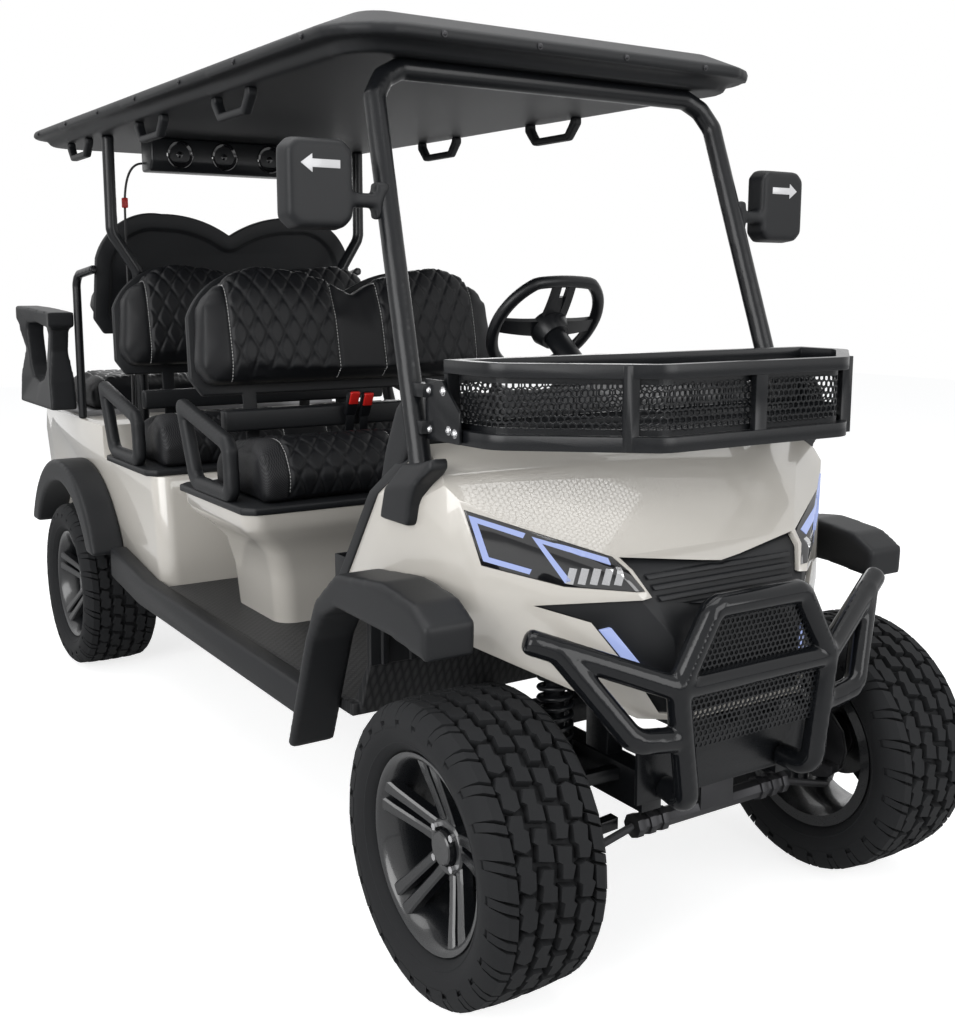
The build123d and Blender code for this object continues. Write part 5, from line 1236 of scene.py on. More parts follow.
# %% Quilt the covers
DIAMOND = (0.056, 0.106)
PUFF, PUFF_FULLNESS = 0.0060, 1.6
SEAM_DEPTH = 0.0045
SEAM_WIDTH = 0.006
PANEL = (0.078, 0.412)
PANEL_START, PANEL_EDGE = 0.05, 0.012
BOLSTER = (0.420, 0.492)
BACK_ROLL, CUSHION_ROLL = 0.015, 0.125  # how far a panel runs on over the rolled edge
FACING_LEAST, FACING_FULL = 0.1, 0.5  # how much a point faces up or along, from no quilting to all of it
SPLIT_FACING = 0.2  # how much a face has to face up or along to be split


def panel_place(point, high):
    """Distance across from the nearest panel's middle, and along it with the rolled edge unrolled."""
    return abs(point.x) - sum(PANEL) / 2, point.y + high.z - point.z


def eased(value, start, end):
    """Share from 0 to 1 as a value goes from start to end."""
    share = max(0.0, min(1.0, (value - start) / (end - start)))
    return share * share * (3 - 2 * share)


def search_tree(data):
    """Search tree of a mesh, to find where a line meets it."""
    return BVHTree.FromPolygons([v.co for v in data.vertices], [p.vertices for p in data.polygons])


def split_panels(mesh, high, first, last):
    """Splits the faces of the panels once more, so that the quilting has points to move."""
    half = (PANEL[1] - PANEL[0]) / 2

    def in_panel(face):
        across, along = panel_place(face.calc_center_median(), high)
        facing = face.normal.z + face.normal.y > SPLIT_FACING
        return facing and abs(across) < half + PANEL_EDGE and first < along < last

    edges = {edge for face in mesh.faces if in_panel(face) for edge in face.edges}
    bmesh.ops.subdivide_edges(mesh, edges=list(edges), cuts=1, use_grid_fill=True, smooth=0.0)
    mesh.normal_update()


def quilt(data, low, high, roll):
    """Presses the diamonds and the panel seams into a filled cover."""
    half = (PANEL[1] - PANEL[0]) / 2
    first, last = low.y + PANEL_START, high.y + roll
    mesh = bmesh.new()
    mesh.from_mesh(data)
    mesh.normal_update()
    split_panels(mesh, high, first, last)
    layer = mesh.verts.layers.float.new("bolster")
    moves = []
    for vert in mesh.verts:
        across, along = panel_place(vert.co, high)
        turned = eased(vert.normal.z + vert.normal.y, FACING_LEAST, FACING_FULL)
        share = turned * eased(along, first - 0.01, first + 0.02) * eased(along, last + 0.01, last - 0.02)
        inside = share * eased(half - abs(across), 0.0, PANEL_EDGE)
        one = across / DIAMOND[0] + along / DIAMOND[1]
        two = across / DIAMOND[0] - along / DIAMOND[1]
        pillow = min(1.0, PUFF_FULLNESS * sqrt(abs(sin(pi * one) * sin(pi * two))))
        seam = share * 2.718 ** -(((half - abs(across)) / SEAM_WIDTH) ** 2)
        moves.append(inside * (pillow * PUFF - PUFF / 2) - seam * SEAM_DEPTH)
        vert[layer] = turned if BOLSTER[0] < abs(vert.co.x) < BOLSTER[1] else 0.0
    for vert, move in zip(mesh.verts, moves):
        vert.co += vert.normal * move
    mesh.to_mesh(data)
    mesh.free()
    data.shade_smooth()


seat_surfaces = {}
for node, (along, out) in SEATS.items():
    axes = Matrix((Vector((0, 1, 0)), along, out)).transposed().to_4x4()
    is_back = node.endswith("back")
    cover, low, high = cover_start(node, axes)
    cover_data = fill_cover(cover, low, high)
    quilt(cover_data, low, high, BACK_ROLL if is_back else CUSHION_ROLL)
    cover_data.transform(axes)
    if axes.determinant() < 0:
        cover_data.flip_normals()
    if is_back:
        cover_data.attributes.remove(cover_data.attributes["bolster"])
    piece = stand_in(node, "cover", cover_data, vinyl)
    seat_surfaces[node] = (axes, low, high, search_tree(cover_data))
    print(node, "faces:", len(cover_data.polygons))

# %% [markdown]
# ## Seams and stitches
# Pale thread runs down both sides of every quilted panel. Each seam is a line dropped on to the finished
# cover, and a recipe walks along it and lays one short stitch at each step, turned to follow the line.

# %% Sew the panel seams
STITCH_PITCH = 0.0095
STITCH = (0.0068, 0.0011)
STITCH_SIDES = 5
THREAD_LIFT = 0.0006
TOP_STEPS, EDGE_STEPS = 50, 16
TOP_MARGIN, EDGE_DROP, EDGE_MARGIN, RAY_LIFT = 0.03, 0.02, 0.05, 0.2


def stitch_recipe():
    """Lays a stitch at even steps along every edge line of the base."""
    recipe = Recipe("stitched_line", Base="Object", Stitch="Object", Pitch="Float", Finish="Material")
    curve = recipe.node("GeometryNodeMeshToCurve", inputs={0: recipe.geometry_of("Base")})
    pitch = recipe.given.outputs["Pitch"]
    steps = recipe.node("GeometryNodeResampleCurve", {"mode": "LENGTH"}, {0: curve, "Length": pitch})
    tangent = recipe.node("GeometryNodeInputTangent")
    turn = recipe.node("FunctionNodeAlignRotationToVector", {"axis": "X"}, {"Vector": tangent})
    return recipe.copies(steps, recipe.geometry_of("Stitch"), Rotation=turn)


def stitch_shape():
    """Short thread, thicker in its middle than at its ends."""
    length, radius = STITCH
    turns = [2 * pi * side / STITCH_SIDES for side in range(STITCH_SIDES)]
    rings = []
    for x, r in ((-length / 2, radius * 0.4), (0, radius), (length / 2, radius * 0.4)):
        rings.append([(x, r * cos(t), r * sin(t)) for t in turns])
    return loft(bmesh.new(), rings)


def edge_lines(lines):
    """Loose object whose edges follow the given lines of points."""
    points = [p for line in lines for p in line]
    edges, start = [], 0
    for line in lines:
        edges += [(start + i, start + i + 1) for i in range(len(line) - 1)]
        start += len(line)
    data = bpy.data.meshes.new("lines")
    data.from_pydata(points, edges, [])
    return bpy.data.objects.new("lines", data)


def dropped_line(axes, low, high, surface, across):
    """Line along a cover at one distance across and down its rolled edge, lifted a hair off the surface."""
    rays = []
    for step in range(TOP_STEPS + 1):
        along = low.y + TOP_MARGIN + (high.y - low.y - 2 * TOP_MARGIN) * step / TOP_STEPS
        rays.append(((across, along, high.z + RAY_LIFT), (0, 0, -1)))
    for step in range(EDGE_STEPS + 1):
        out = high.z - EDGE_DROP - (high.z - low.z - EDGE_MARGIN) * step / EDGE_STEPS
        rays.append(((across, high.y + RAY_LIFT, out), (0, -1, 0)))
    line = []
    for start, way in rays:
        turned = axes.to_3x3() @ Vector(way)
        hit, _, _, _ = surface.ray_cast(axes @ Vector(start), turned)
        if hit:
            line.append(hit - turned * THREAD_LIFT)
    return line


thread = grained("seat_thread", (0.50, 0.50, 0.50), (0.62, 0.62, 0.61), 0.7, 800.0, 0.0001)
sewing = stitch_recipe()
sewn = {}
for node, (axes, low, high, surface) in seat_surfaces.items():
    for across in (-PANEL[1], -PANEL[0], PANEL[0], PANEL[1]):
        sewn.setdefault(body_of[node], []).append(dropped_line(axes, low, high, surface, across))
for body, lines in sewn.items():
    seams, stitch = edge_lines(lines), pattern(stitch_shape())
    thread_data = sewing.run(Base=seams, Stitch=stitch, Pitch=STITCH_PITCH, Finish=thread)
    discard(seams)
    discard(stitch)
    finished(f"stitches_{body}", thread_data, None, body)
    print("stitches on", body, ":", len(thread_data.polygons) // (2 * STITCH_SIDES + 2))

# %% [markdown]
# ## Perforated sheets
# The basket and the screens of the bull bar are steel sheet punched with rows of six-sided holes. The recipe
# lays one pierced cell in staggered rows. The flat sheet is then bent or trimmed to the place that it fills,
# its cells are welded together, and it is given the sheet's thickness.

# %% Pierce flat sheets
SHEET_THICKNESS = 0.003
WELD_DISTANCE = 0.0003
CELL_POINTS = 12
ROW_SPARE = 1.16  # rows to a pitch of height, with a little to spare


def pierced_cell(pitch, hole):
    """Flat six-sided tile with a six-sided hole."""
    turns = [radians(30 + 60 * side) for side in range(6)]
    rings = [[(size / sqrt(3) * cos(t), size / sqrt(3) * sin(t), 0) for t in turns] for size in (pitch, hole)]
    return loft(bmesh.new(), rings, capped=False)


def pierced_sheet(columns, rows, pitch, hole):
    """Bmesh of a flat pierced sheet about the origin."""
    cell = pattern(pierced_cell(pitch, hole))
    data = piercing.run(Cell=cell, Columns=columns, Rows=rows, Pitch=pitch, Finish=powder)
    discard(cell)
    return joined([data])


def holds(outline, point):
    """True where a counter-clockwise outline has a point inside it."""
    return all(
        (b[0] - a[0]) * (point[1] - a[1]) - (b[1] - a[1]) * (point[0] - a[0]) >= 0
        for a, b in zip(outline, outline[1:] + outline[:1])
    )


def trimmed(mesh, outline):
    """Removes the pierced cells whose middle lies outside an outline."""
    mesh.verts.ensure_lookup_table()
    for start in range(0, len(mesh.verts), CELL_POINTS):
        cell = mesh.verts[start : start + CELL_POINTS]
        middle = sum((v.co for v in cell), Vector()) / CELL_POINTS
        for vert in cell:
            vert.tag = not holds(outline, middle)
    bmesh.ops.delete(mesh, geom=[v for v in mesh.verts if v.tag], context="VERTS")


def thickened(mesh, thickness):
    """Plain mesh of a sheet with its cells joined and its thickness given."""
    bmesh.ops.remove_doubles(mesh, verts=mesh.verts, dist=WELD_DISTANCE)
    bmesh.ops.recalc_face_normals(mesh, faces=mesh.faces)
    piece = loose_copy(mesh)
    depth = piece.modifiers.new("depth", "SOLIDIFY")
    depth.thickness = thickness
    depth.offset = 0.0
    return applied(piece)


print("sheets are", SHEET_THICKNESS, "m thick")

# %% [markdown]
# The side of the basket is one long sheet bent round its plan. The plan is a line with rounded corners, and
# each point of the flat sheet goes to the place on that line that is as far along as the point was across.

# %% Draw the plan of the basket
BASKET_PLAN = [(-0.128, 0.492), (0.020, 0.482), (0.150, 0.330), (0.228, 0.240)]
BASKET_CORNER, BASKET_CORNER_STEPS = 0.070, 6


def basket_path(inset):
    """Closed line of (x, y) points round the basket, counter-clockwise and set in from its outside."""
    corners = [Vector((station(ahead), -half)) for ahead, half in BASKET_PLAN]
    corners += [Vector((station(ahead), half)) for ahead, half in reversed(BASKET_PLAN)]
    path = []
    for i, here in enumerate(corners):
        into = (here - corners[i - 1]).normalized()
        onto = (corners[(i + 1) % len(corners)] - here).normalized()
        left_in, left_on = Vector((-into.y, into.x)), Vector((-onto.y, onto.x))
        if here.x < station(0.0):
            path.append(here + (left_in + left_on) * inset / (1 + left_in.dot(left_on)))
            continue
        turn = into.angle(onto)
        centre = here - into * (BASKET_CORNER * tan(turn / 2)) + left_in * BASKET_CORNER
        for step in range(BASKET_CORNER_STEPS + 1):
            swung = Matrix.Rotation(turn * step / BASKET_CORNER_STEPS, 2) @ left_in
            path.append(centre - swung * (BASKET_CORNER - inset))
    return path


def path_walker(path):
    """Length of a closed line, and a function that gives the point at a distance along it."""
    lengths = [(b - a).length for a, b in zip(path, path[1:] + path[:1])]
    total = sum(lengths)

    def at(distance):
        distance %= total
        for start, end, length in zip(path, path[1:] + path[:1], lengths):
            if distance <= length:
                return start.lerp(end, distance / length)
            distance -= length
        return path[0]

    return total, at


SHEET_INSET, FLOOR_INSET = 0.022, 0.034
round_length, along_basket = path_walker(basket_path(SHEET_INSET))
print("length round the basket:", round(round_length, 3))

# %% [markdown]
# Above and below its holes the sheet has a plain band. The floor of the basket is a flat sheet trimmed to
# the same plan, set in a little further.

# %% Bend the basket's side and lay its floor
BASKET_SIDE_Z = (1.0803, 1.1857)
BASKET_FLOOR_Z = 1.062
BASKET_PITCH, BASKET_HOLE = 0.0145, 0.0118
BAND_STEPS, BAND_LAP = 300, 0.003

side_middle = sum(BASKET_SIDE_Z) / 2
side_columns = round(round_length / BASKET_PITCH)
side_pitch = round_length / side_columns
side_rows = int((BASKET_SIDE_Z[1] - BASKET_SIDE_Z[0]) / (side_pitch * ROW_SHARE)) - 1
side_sheet = pierced_sheet(side_columns, side_rows, side_pitch, BASKET_HOLE)
for vert in side_sheet.verts:
    spot = along_basket(vert.co.x + round_length / 2)
    vert.co = (spot.x, spot.y, side_middle + vert.co.y)
pierced_half = side_pitch * ROW_SHARE / 2 * side_rows - BAND_LAP
edge_line = [along_basket(round_length * step / BAND_STEPS) for step in range(BAND_STEPS)]
lower_band = (BASKET_SIDE_Z[0], side_middle - pierced_half)
upper_band = (side_middle + pierced_half, BASKET_SIDE_Z[1])
for band in (lower_band, upper_band):
    loft(side_sheet, [[(spot.x, spot.y, z) for spot in edge_line] for z in band], capped=False)

floor_outline = basket_path(FLOOR_INSET)
floor_low, floor_high = extent([spot.to_3d() for spot in floor_outline])
floor_size = floor_high - floor_low
floor_columns, floor_rows = ceil(floor_size.x / BASKET_PITCH), ceil(floor_size.y / BASKET_PITCH * ROW_SPARE)
floor_sheet = pierced_sheet(floor_columns, floor_rows, BASKET_PITCH, BASKET_HOLE)
floor_sheet.transform(Matrix.Translation((*((floor_low + floor_high) / 2).to_2d(), BASKET_FLOOR_Z)))
trimmed(floor_sheet, floor_outline)
basket_sheets = joined([thickened(sheet, SHEET_THICKNESS) for sheet in (side_sheet, floor_sheet)])
finished("basket_sheets", basket_sheets, powder, "chassis", ("basket_panels",))
print("pierced cells round the basket:", side_columns, "x", side_rows)

# %% [markdown]
# The screens of the bull bar fill the two windows between its tubes. A sheet larger than the window is
# pierced first, the cells outside the window are dropped, and what is left is stood upright in its place.

# %% Set the screens in the bull bar
SCREEN_PITCH, SCREEN_HOLE = 0.0125, 0.0088
SCREEN_X = station(0.236)
SCREENS = [
    # corners as (Y, Z), driver's side first and low first
    [(0.178, 0.484), (0.198, 0.596), (-0.198, 0.596), (-0.178, 0.484)],
    [(0.192, 0.620), (0.112, 0.742), (-0.112, 0.742), (-0.192, 0.620)],
]
screen_sheets = []
for corners in SCREENS:
    low, high = extent([Vector((0, *corner)) for corner in corners])
    middle, size = (low + high) / 2, high - low
    columns, rows = ceil(size.y / SCREEN_PITCH), ceil(size.z / SCREEN_PITCH * ROW_SPARE)
    sheet = pierced_sheet(columns, rows, SCREEN_PITCH, SCREEN_HOLE)
    sheet.transform(Matrix.Translation((middle.y, middle.z, 0)))
    trimmed(sheet, corners)
    for vert in sheet.verts:
        vert.co = (SCREEN_X, vert.co.x, vert.co.y)
    screen_sheets.append(thickened(sheet, SHEET_THICKNESS))
screens = joined(screen_sheets)
finished("screen_sheets", screens, powder, "chassis", ("bar_screens",))
print("screens:", len(SCREENS))

# %% [markdown]
# ## Lamps
# Behind the dark lens of each headlamp two light guides glow pale blue: a bracket round the outer end and a
# leaning seven over the reflectors. A line drawn in front view is projected on to the lens, so the guides
# follow its curve. The daytime bars beside the grille glow the same way, and the tail lamps are red.

# %% Light the lamps
GUIDE_WIDTH = 0.010
GUIDE_LIFT = 0.0008
LIGHT_GUIDES = [
    # corners as (Y, Z) on the driver's side
    [(0.402, 0.883), (0.479, 0.913), (0.459, 0.836), (0.392, 0.813)],
    [(0.336, 0.795), (0.383, 0.875), (0.266, 0.832)],
]
REFLECTOR_Y = (0.334, 0.316, 0.298, 0.280, 0.262)
REFLECTOR_Z = (0.791, 0.822)
REFLECTOR_WIDTH = 0.0115
REFLECTOR_LEAN = 0.006
GUIDE_THICKNESS = 0.003
GUIDE_STEP = 0.006
GLOW_DIM = 0.86


def glowing(name, colour, strength):
    """Lit lens, a little brighter in its middle than in its clouds."""
    finish = Finish(name, Base_Color=(*[c * 0.15 for c in colour], 1.0), Roughness=0.25, Coat_Weight=0.6)
    finish.shader.inputs["Emission Strength"].default_value = strength
    dim = [c * GLOW_DIM for c in colour]
    finish.feed("Emission Color", finish.mix(finish.noise(30.0), (*dim, 1.0), (*colour, 1.0)))
    return finish.material


def ribbon_rails(line, width):
    """Two lines of (Y, Z) points, half a width to each side of a line with mitred corners."""
    line = [Vector(p) for p in line]
    rails = []
    for i, here in enumerate(line):
        ahead = (line[min(i + 1, len(line) - 1)] - here).normalized()
        behind = (here - line[max(i - 1, 0)]).normalized()
        along = (ahead + behind).normalized()
        reach = width / 2 / max(0.5, along.dot(ahead if ahead.length else behind))
        rails.append([here + Vector((-along.y, along.x)) * reach * side for side in (-1, 1)])
    return rails


def ribbon(mesh, tree, line, width, lift):
    """Adds a band along a (Y, Z) line, projected from the front on to a surface."""
    rails = ribbon_rails(line, width)
    for (a, b), (c, d) in zip(rails, rails[1:]):
        steps = max(2, ceil((c - a).length / GUIDE_STEP))
        rows = []
        for step in range(steps + 1):
            spots = []
            for share in (0.0, 0.5, 1.0):
                flat = a.lerp(c, step / steps).lerp(b.lerp(d, step / steps), share)
                hit, normal, _, _ = tree.ray_cast(Vector((station(1.0), *flat)), REARWARD)
                if hit:
                    spots.append(mesh.verts.new(hit + normal * lift))
            if len(spots) == 3:
                rows.append(spots)
        for low, high in zip(rows, rows[1:]):
            for i in (0, 1):
                mesh.faces.new((low[i], low[i + 1], high[i + 1], high[i]))


daylight = glowing("daylight_lens", (0.40, 0.49, 0.86), 0.85)
red_lens = grained(
    "red_lens", (0.30, 0.004, 0.004), (0.42, 0.008, 0.006), 0.12, 200.0, 0.0001, Coat_Weight=1.0
)
reflectors = [[(y, REFLECTOR_Z[0]), (y - REFLECTOR_LEAN, REFLECTOR_Z[1])] for y in REFLECTOR_Y]
lamp_surface = search_tree(frame["nodes"]["headlamps"].data)
for name, lines, width, finish in (
    ("light_guides", LIGHT_GUIDES, GUIDE_WIDTH, daylight),
    ("lamp_reflectors", reflectors, REFLECTOR_WIDTH, bright),
):
    bands = bmesh.new()
    for line in lines:
        for side in (-1, 1):
            ribbon(bands, lamp_surface, [(side * y, z) for y, z in line], width, GUIDE_LIFT)
    fitted(name, thickened(bands, GUIDE_THICKNESS), finish)
for node, finish, bevel in (
    ("headlamps", gloss_black, 0.002),
    ("marker_lamps", daylight, 0.001),
    ("tail_lamps", red_lens, 0.006),
):
    dress(node, finish, bevel)
print("lamps lit")

# %% [markdown]
# ## Steering wheel
# The steering wheel is a padded D with its flat at the top, on two level spokes and a broad upper one that
# has a slot through it. It is made flat about the origin: a tube round the D, a boss spun like a tyre, and
# thickened strips for the spokes. Then the whole is leant back and set on its column.

# %% Make the steering wheel
WHEEL_CENTRE = Vector((station(-0.838), 0.268, 1.252))
WHEEL_LEAN = radians(38)
WHEEL_RADIUS, WHEEL_GRIP, WHEEL_FLAT = 0.163, 0.0165, 0.136
WHEEL_STEPS, GRIP_SIDES = 72, 14
FLAT_BULGE = 0.25  # share of the circle's rise that is left on the flat
HUB_BOSS = [
    # height, radius
    (0.004, 0.001),
    (0.004, 0.040),
    (-0.004, 0.052),
    (-0.026, 0.054),
    (-0.060, 0.040),
    (-0.060, 0.001),
]
BOSS_SEGMENTS = 40
WHEEL_SPOKES = [
    # turn in degrees, shift across, half width at the hub and at the grip, reach
    (0, 0.0, 0.026, 0.020, 0.148),
    (180, 0.0, 0.026, 0.020, 0.148),
    (270, 0.023, 0.013, 0.011, 0.130),
    (270, -0.023, 0.013, 0.011, 0.130),
    (270, 0.0, 0.026, 0.022, 0.095),
]
SPOKE_START, SPOKE_SINK, SPOKE_RISE, SPOKE_THICKNESS = 0.030, -0.016, 0.012, 0.014


def tube(points, radius, sides, closed=False):
    """Bmesh of a round tube along a line of points."""
    turns = [2 * pi * k / sides for k in range(sides)]
    last = len(points) - 1
    side = None
    rings = []
    for i, here in enumerate(points):
        after = points[(i + 1) % len(points)] if closed or i < last else here
        before = points[i - 1] if closed or i else here
        along = (after - before).normalized()
        side = along.orthogonal() if side is None else side - along * side.dot(along)
        side.normalize()
        over = along.cross(side)
        rings.append([here + (side * cos(t) + over * sin(t)) * radius for t in turns])
    return loft(bmesh.new(), rings, closed=closed)


def wheel_spoke(turn_deg, shift, hub_half, grip_half, reach):
    """Flat strip that runs from the hub to the grip and rises a little on its way."""
    mesh = bmesh.new()
    bmesh.ops.create_grid(mesh, x_segments=8, y_segments=3, size=0.5)
    for vert in mesh.verts:
        share = vert.co.x + 0.5
        half = hub_half + (grip_half - hub_half) * share
        along = SPOKE_START + share * (reach - SPOKE_START)
        vert.co = (along, shift + vert.co.y * 2 * half, SPOKE_SINK + SPOKE_RISE * share**2)
    mesh.transform(Matrix.Rotation(radians(turn_deg), 4, "Z"))
    return mesh


wheel_ring = []
for step in range(WHEEL_STEPS):
    angle = 2 * pi * step / WHEEL_STEPS
    down = WHEEL_RADIUS * sin(angle)
    cut = max(down, -WHEEL_FLAT + (down + WHEEL_FLAT) * FLAT_BULGE)
    wheel_ring.append(Vector((WHEEL_RADIUS * cos(angle), cut, 0)))
boss = spun(HUB_BOSS, BOSS_SEGMENTS)
boss.transform(Matrix.Rotation(pi / 2, 4, "X"))
wheel_parts = [plain(tube(wheel_ring, WHEEL_GRIP, GRIP_SIDES, closed=True)), plain(boss)]
wheel_parts += [thickened(wheel_spoke(*row), SPOKE_THICKNESS) for row in WHEEL_SPOKES]

wheel_normal = Vector((-cos(WHEEL_LEAN), 0, sin(WHEEL_LEAN)))
wheel_left = Vector((0, 1, 0))
wheel_axes = Matrix((wheel_left, wheel_normal.cross(wheel_left), wheel_normal)).transposed().to_4x4()
wheel_axes.translation = WHEEL_CENTRE
wheel_whole = joined(wheel_parts)
wheel_whole.transform(wheel_axes)
bmesh.ops.recalc_face_normals(wheel_whole, faces=wheel_whole.faces)
stand_in("steering_wheel", "grip", plain(wheel_whole), smooth_plastic)
print("parts of the steering wheel:", len(wheel_parts))

# %% [markdown]
# ## Springs
# Each front shock is a damper inside a coil. The damper is a profile spun about its own axis, and the coil
# is a round wire along a helix.

# %% Coil the shocks
SHOCK_Y = 0.312
COIL_Z = (0.442, 0.6137)
COIL_TURNS, COIL_STEPS = 8, 20
COIL_RADIUS, WIRE_RADIUS, WIRE_SIDES = 0.0325, 0.0055, 8
DAMPER_SEGMENTS = 28
DAMPER = [
    # height, radius
    (0.2663, 0.001),
    (0.2663, 0.011),
    (0.4300, 0.011),
    (0.4300, 0.0385),
    (0.4360, 0.0385),
    (0.4360, 0.0195),
    (0.6200, 0.0195),
    (0.6200, 0.0385),
    (0.6275, 0.0385),
    (0.6275, 0.001),
]
shock_parts = []
for side in (-1, 1):
    foot = Vector((FRONT_AXLE_X, side * SHOCK_Y, 0))
    damper = spun(DAMPER, DAMPER_SEGMENTS)
    damper.transform(Matrix.Translation(foot) @ Matrix.Rotation(pi / 2, 4, "X"))
    helix = []
    for step in range(COIL_TURNS * COIL_STEPS + 1):
        angle = 2 * pi * step / COIL_STEPS
        rise = COIL_Z[0] + (COIL_Z[1] - COIL_Z[0]) * step / (COIL_TURNS * COIL_STEPS)
        helix.append(foot + Vector((COIL_RADIUS * cos(angle), COIL_RADIUS * sin(angle), rise)))
    shock_parts += [plain(damper), plain(tube(helix, WIRE_RADIUS, WIRE_SIDES))]
shocks = joined(shock_parts)
bmesh.ops.recalc_face_normals(shocks, faces=shocks.faces)
shock_data = plain(shocks)
finished("shocks_coiled", shock_data, smooth_plastic, "chassis", ("front_shocks",))
print("turns of each coil:", COIL_TURNS)

# %% [markdown]
# ## The hanging lead
# The lead leaves the sound bar and hangs beside the rear post down to the deck. It is a curve with a round
# section, so that it stays a line that can be measured and bent again. Its thickness is given point by point.
# A red plug sits on it a little way down.

# %% Hang the lead
LEAD_DIAMETER = 0.008
LEAD_ROUTE = [
    # ahead of the front axle, Y, Z
    (-2.366, -0.3453, 1.772),
    (-2.368, -0.407, 1.768),
    (-2.372, -0.411, 1.480),
    (-2.386, -0.402, 1.180),
    (-2.392, -0.404, 0.8803),
]
PLUG_Z, PLUG_SIZE = 1.64, (0.014, 0.020, 0.034)

lead_rubber = grained("lead_rubber", (0.012, 0.012, 0.013), (0.02, 0.02, 0.021), 0.55, 500.0, 0.0001)
plug_red = grained("plug_red", (0.45, 0.012, 0.010), (0.55, 0.02, 0.015), 0.4, 300.0, 0.00005)
lead_curve = bpy.data.curves.new("speaker_lead_curve", "CURVE")
lead_curve.dimensions = "3D"
lead_line = lead_curve.splines.new("NURBS")
lead_line.points.add(len(LEAD_ROUTE) - 1)
for point, (ahead, y, z) in zip(lead_line.points, LEAD_ROUTE):
    point.co = (station(ahead), y, z, 1.0)
    point.radius = LEAD_DIAMETER / 2
lead_line.order_u = 3
lead_line.use_endpoint_u = True
lead_line.resolution_u = 16
lead = shown("speaker_lead_hung", lead_curve)
lead_graph = bpy.context.evaluated_depsgraph_get()
lead_points = [v.co.copy() for v in lead.evaluated_get(lead_graph).to_mesh().vertices]

lead_curve.bevel_depth = 1.0
lead_curve.bevel_resolution = 3
lead_curve.use_fill_caps = True
lead_curve.materials.append(lead_rubber)
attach(lead, "chassis")
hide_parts("speaker_lead")
plug_place = min(lead_points, key=lambda p: abs(p.z - PLUG_Z))
plug_mesh = bmesh.new()
plug_matrix = Matrix.Translation(plug_place) @ Matrix.Diagonal((*PLUG_SIZE, 1.0))
bmesh.ops.create_cube(plug_mesh, size=1.0, matrix=plug_matrix)
plug = fitted("lead_plug", rounded(plug_mesh, 0.003, 3), plug_red)
lead_exit = (station(LEAD_ROUTE[0][0]), *LEAD_ROUTE[0][1:])

# %% [markdown]
# ## Fasteners
# Small fasteners tell the eye how big a thing is and how it was put together. The bracket plates of the
# basket carry five dome bolts each, and screws line the sides and the front of the canopy's rim. A point
# marks each place, with the way that it faces, and a recipe sets one fastener on every point.

# %% Set the bolts and screws
PLATE_Y = 0.4986
PLATE_BOLTS = [(-0.173, 1.150), (-0.170, 1.074), (-0.118, 1.152), (-0.098, 1.078), (-0.076, 1.074)]
CANOPY_FRONT, CANOPY_BACK = station(-0.335), station(-2.985)
CANOPY_SIDE_Y = 0.588
CANOPY_Z, CANOPY_RISE = 1.847, radians(0.9)
RIM_SCREWS = 7
LIP_RISE, SCREW_SINK, SCREW_MARGIN = 0.013, 0.0005, 0.20
FRONT_SCREW_Y = (-0.36, -0.12, 0.12, 0.36)
WASHER_SHARE, WASHER_HEIGHT = 1.35, 0.0012
FASTENER_CREASE_DEG = 35


def fastener(radius, height, sides):
    """Dome head with its washer, standing on +Z."""
    washer = radius * WASHER_SHARE
    profile = [(-0.001, 0.0003), (-0.001, washer), (WASHER_HEIGHT, washer), (WASHER_HEIGHT, radius)]
    profile += [(height * 0.6, radius * 0.92), (height, radius * 0.5), (height, 0.0003)]
    mesh = spun(profile, sides)
    mesh.transform(Matrix.Rotation(pi / 2, 4, "X"))
    return mesh


def fastened(name, shape, spots, finish):
    """Sets a fastener on every (place, facing) spot of the chassis."""
    data = bpy.data.meshes.new("spots")
    data.from_pydata([place for place, _ in spots], [], [])
    facing = data.attributes.new("facing", "FLOAT_VECTOR", "POINT")
    for item, (_, way) in zip(facing.data, spots):
        item.vector = way
    base, head = bpy.data.objects.new("spots", data), pattern(shape)
    result = scatter.run(Base=base, Shape=head, Finish=finish)
    discard(base)
    discard(head)
    return fitted(name, sharpened(result, FASTENER_CREASE_DEG), None)


def canopy_lip(x):
    """Height of the middle of the canopy's lip at a distance along it."""
    return CANOPY_Z + LIP_RISE + (CANOPY_FRONT - x) * tan(CANOPY_RISE)


plate_spots, rim_spots = [], []
screw_span = CANOPY_FRONT - CANOPY_BACK - 2 * SCREW_MARGIN
for side in (-1, 1):
    plate_spots += [((station(ahead), side * PLATE_Y, z), (0, side, 0)) for ahead, z in PLATE_BOLTS]
    for step in range(RIM_SCREWS):
        x = CANOPY_FRONT - SCREW_MARGIN - step * screw_span / (RIM_SCREWS - 1)
        rim_spots.append(((x, side * (CANOPY_SIDE_Y - SCREW_SINK), canopy_lip(x)), (0, side, 0)))
for y in FRONT_SCREW_Y:
    rim_spots.append(((CANOPY_FRONT - SCREW_SINK, y, canopy_lip(CANOPY_FRONT)), (1, 0, 0)))
fastened("plate_bolts", fastener(0.0068, 0.006, 16), plate_spots, bright)
fastened("rim_screws", fastener(0.0055, 0.004, 12), rim_spots, steel_dark)
print("fasteners:", len(plate_spots) + len(rim_spots))

# %% [markdown]
# ## Speakers
# Four round drivers sit in the face of the sound bar. Each is a shallow profile with a raised rim, a dished
# cone and a dust cap in its middle, spun and then turned to face forward.

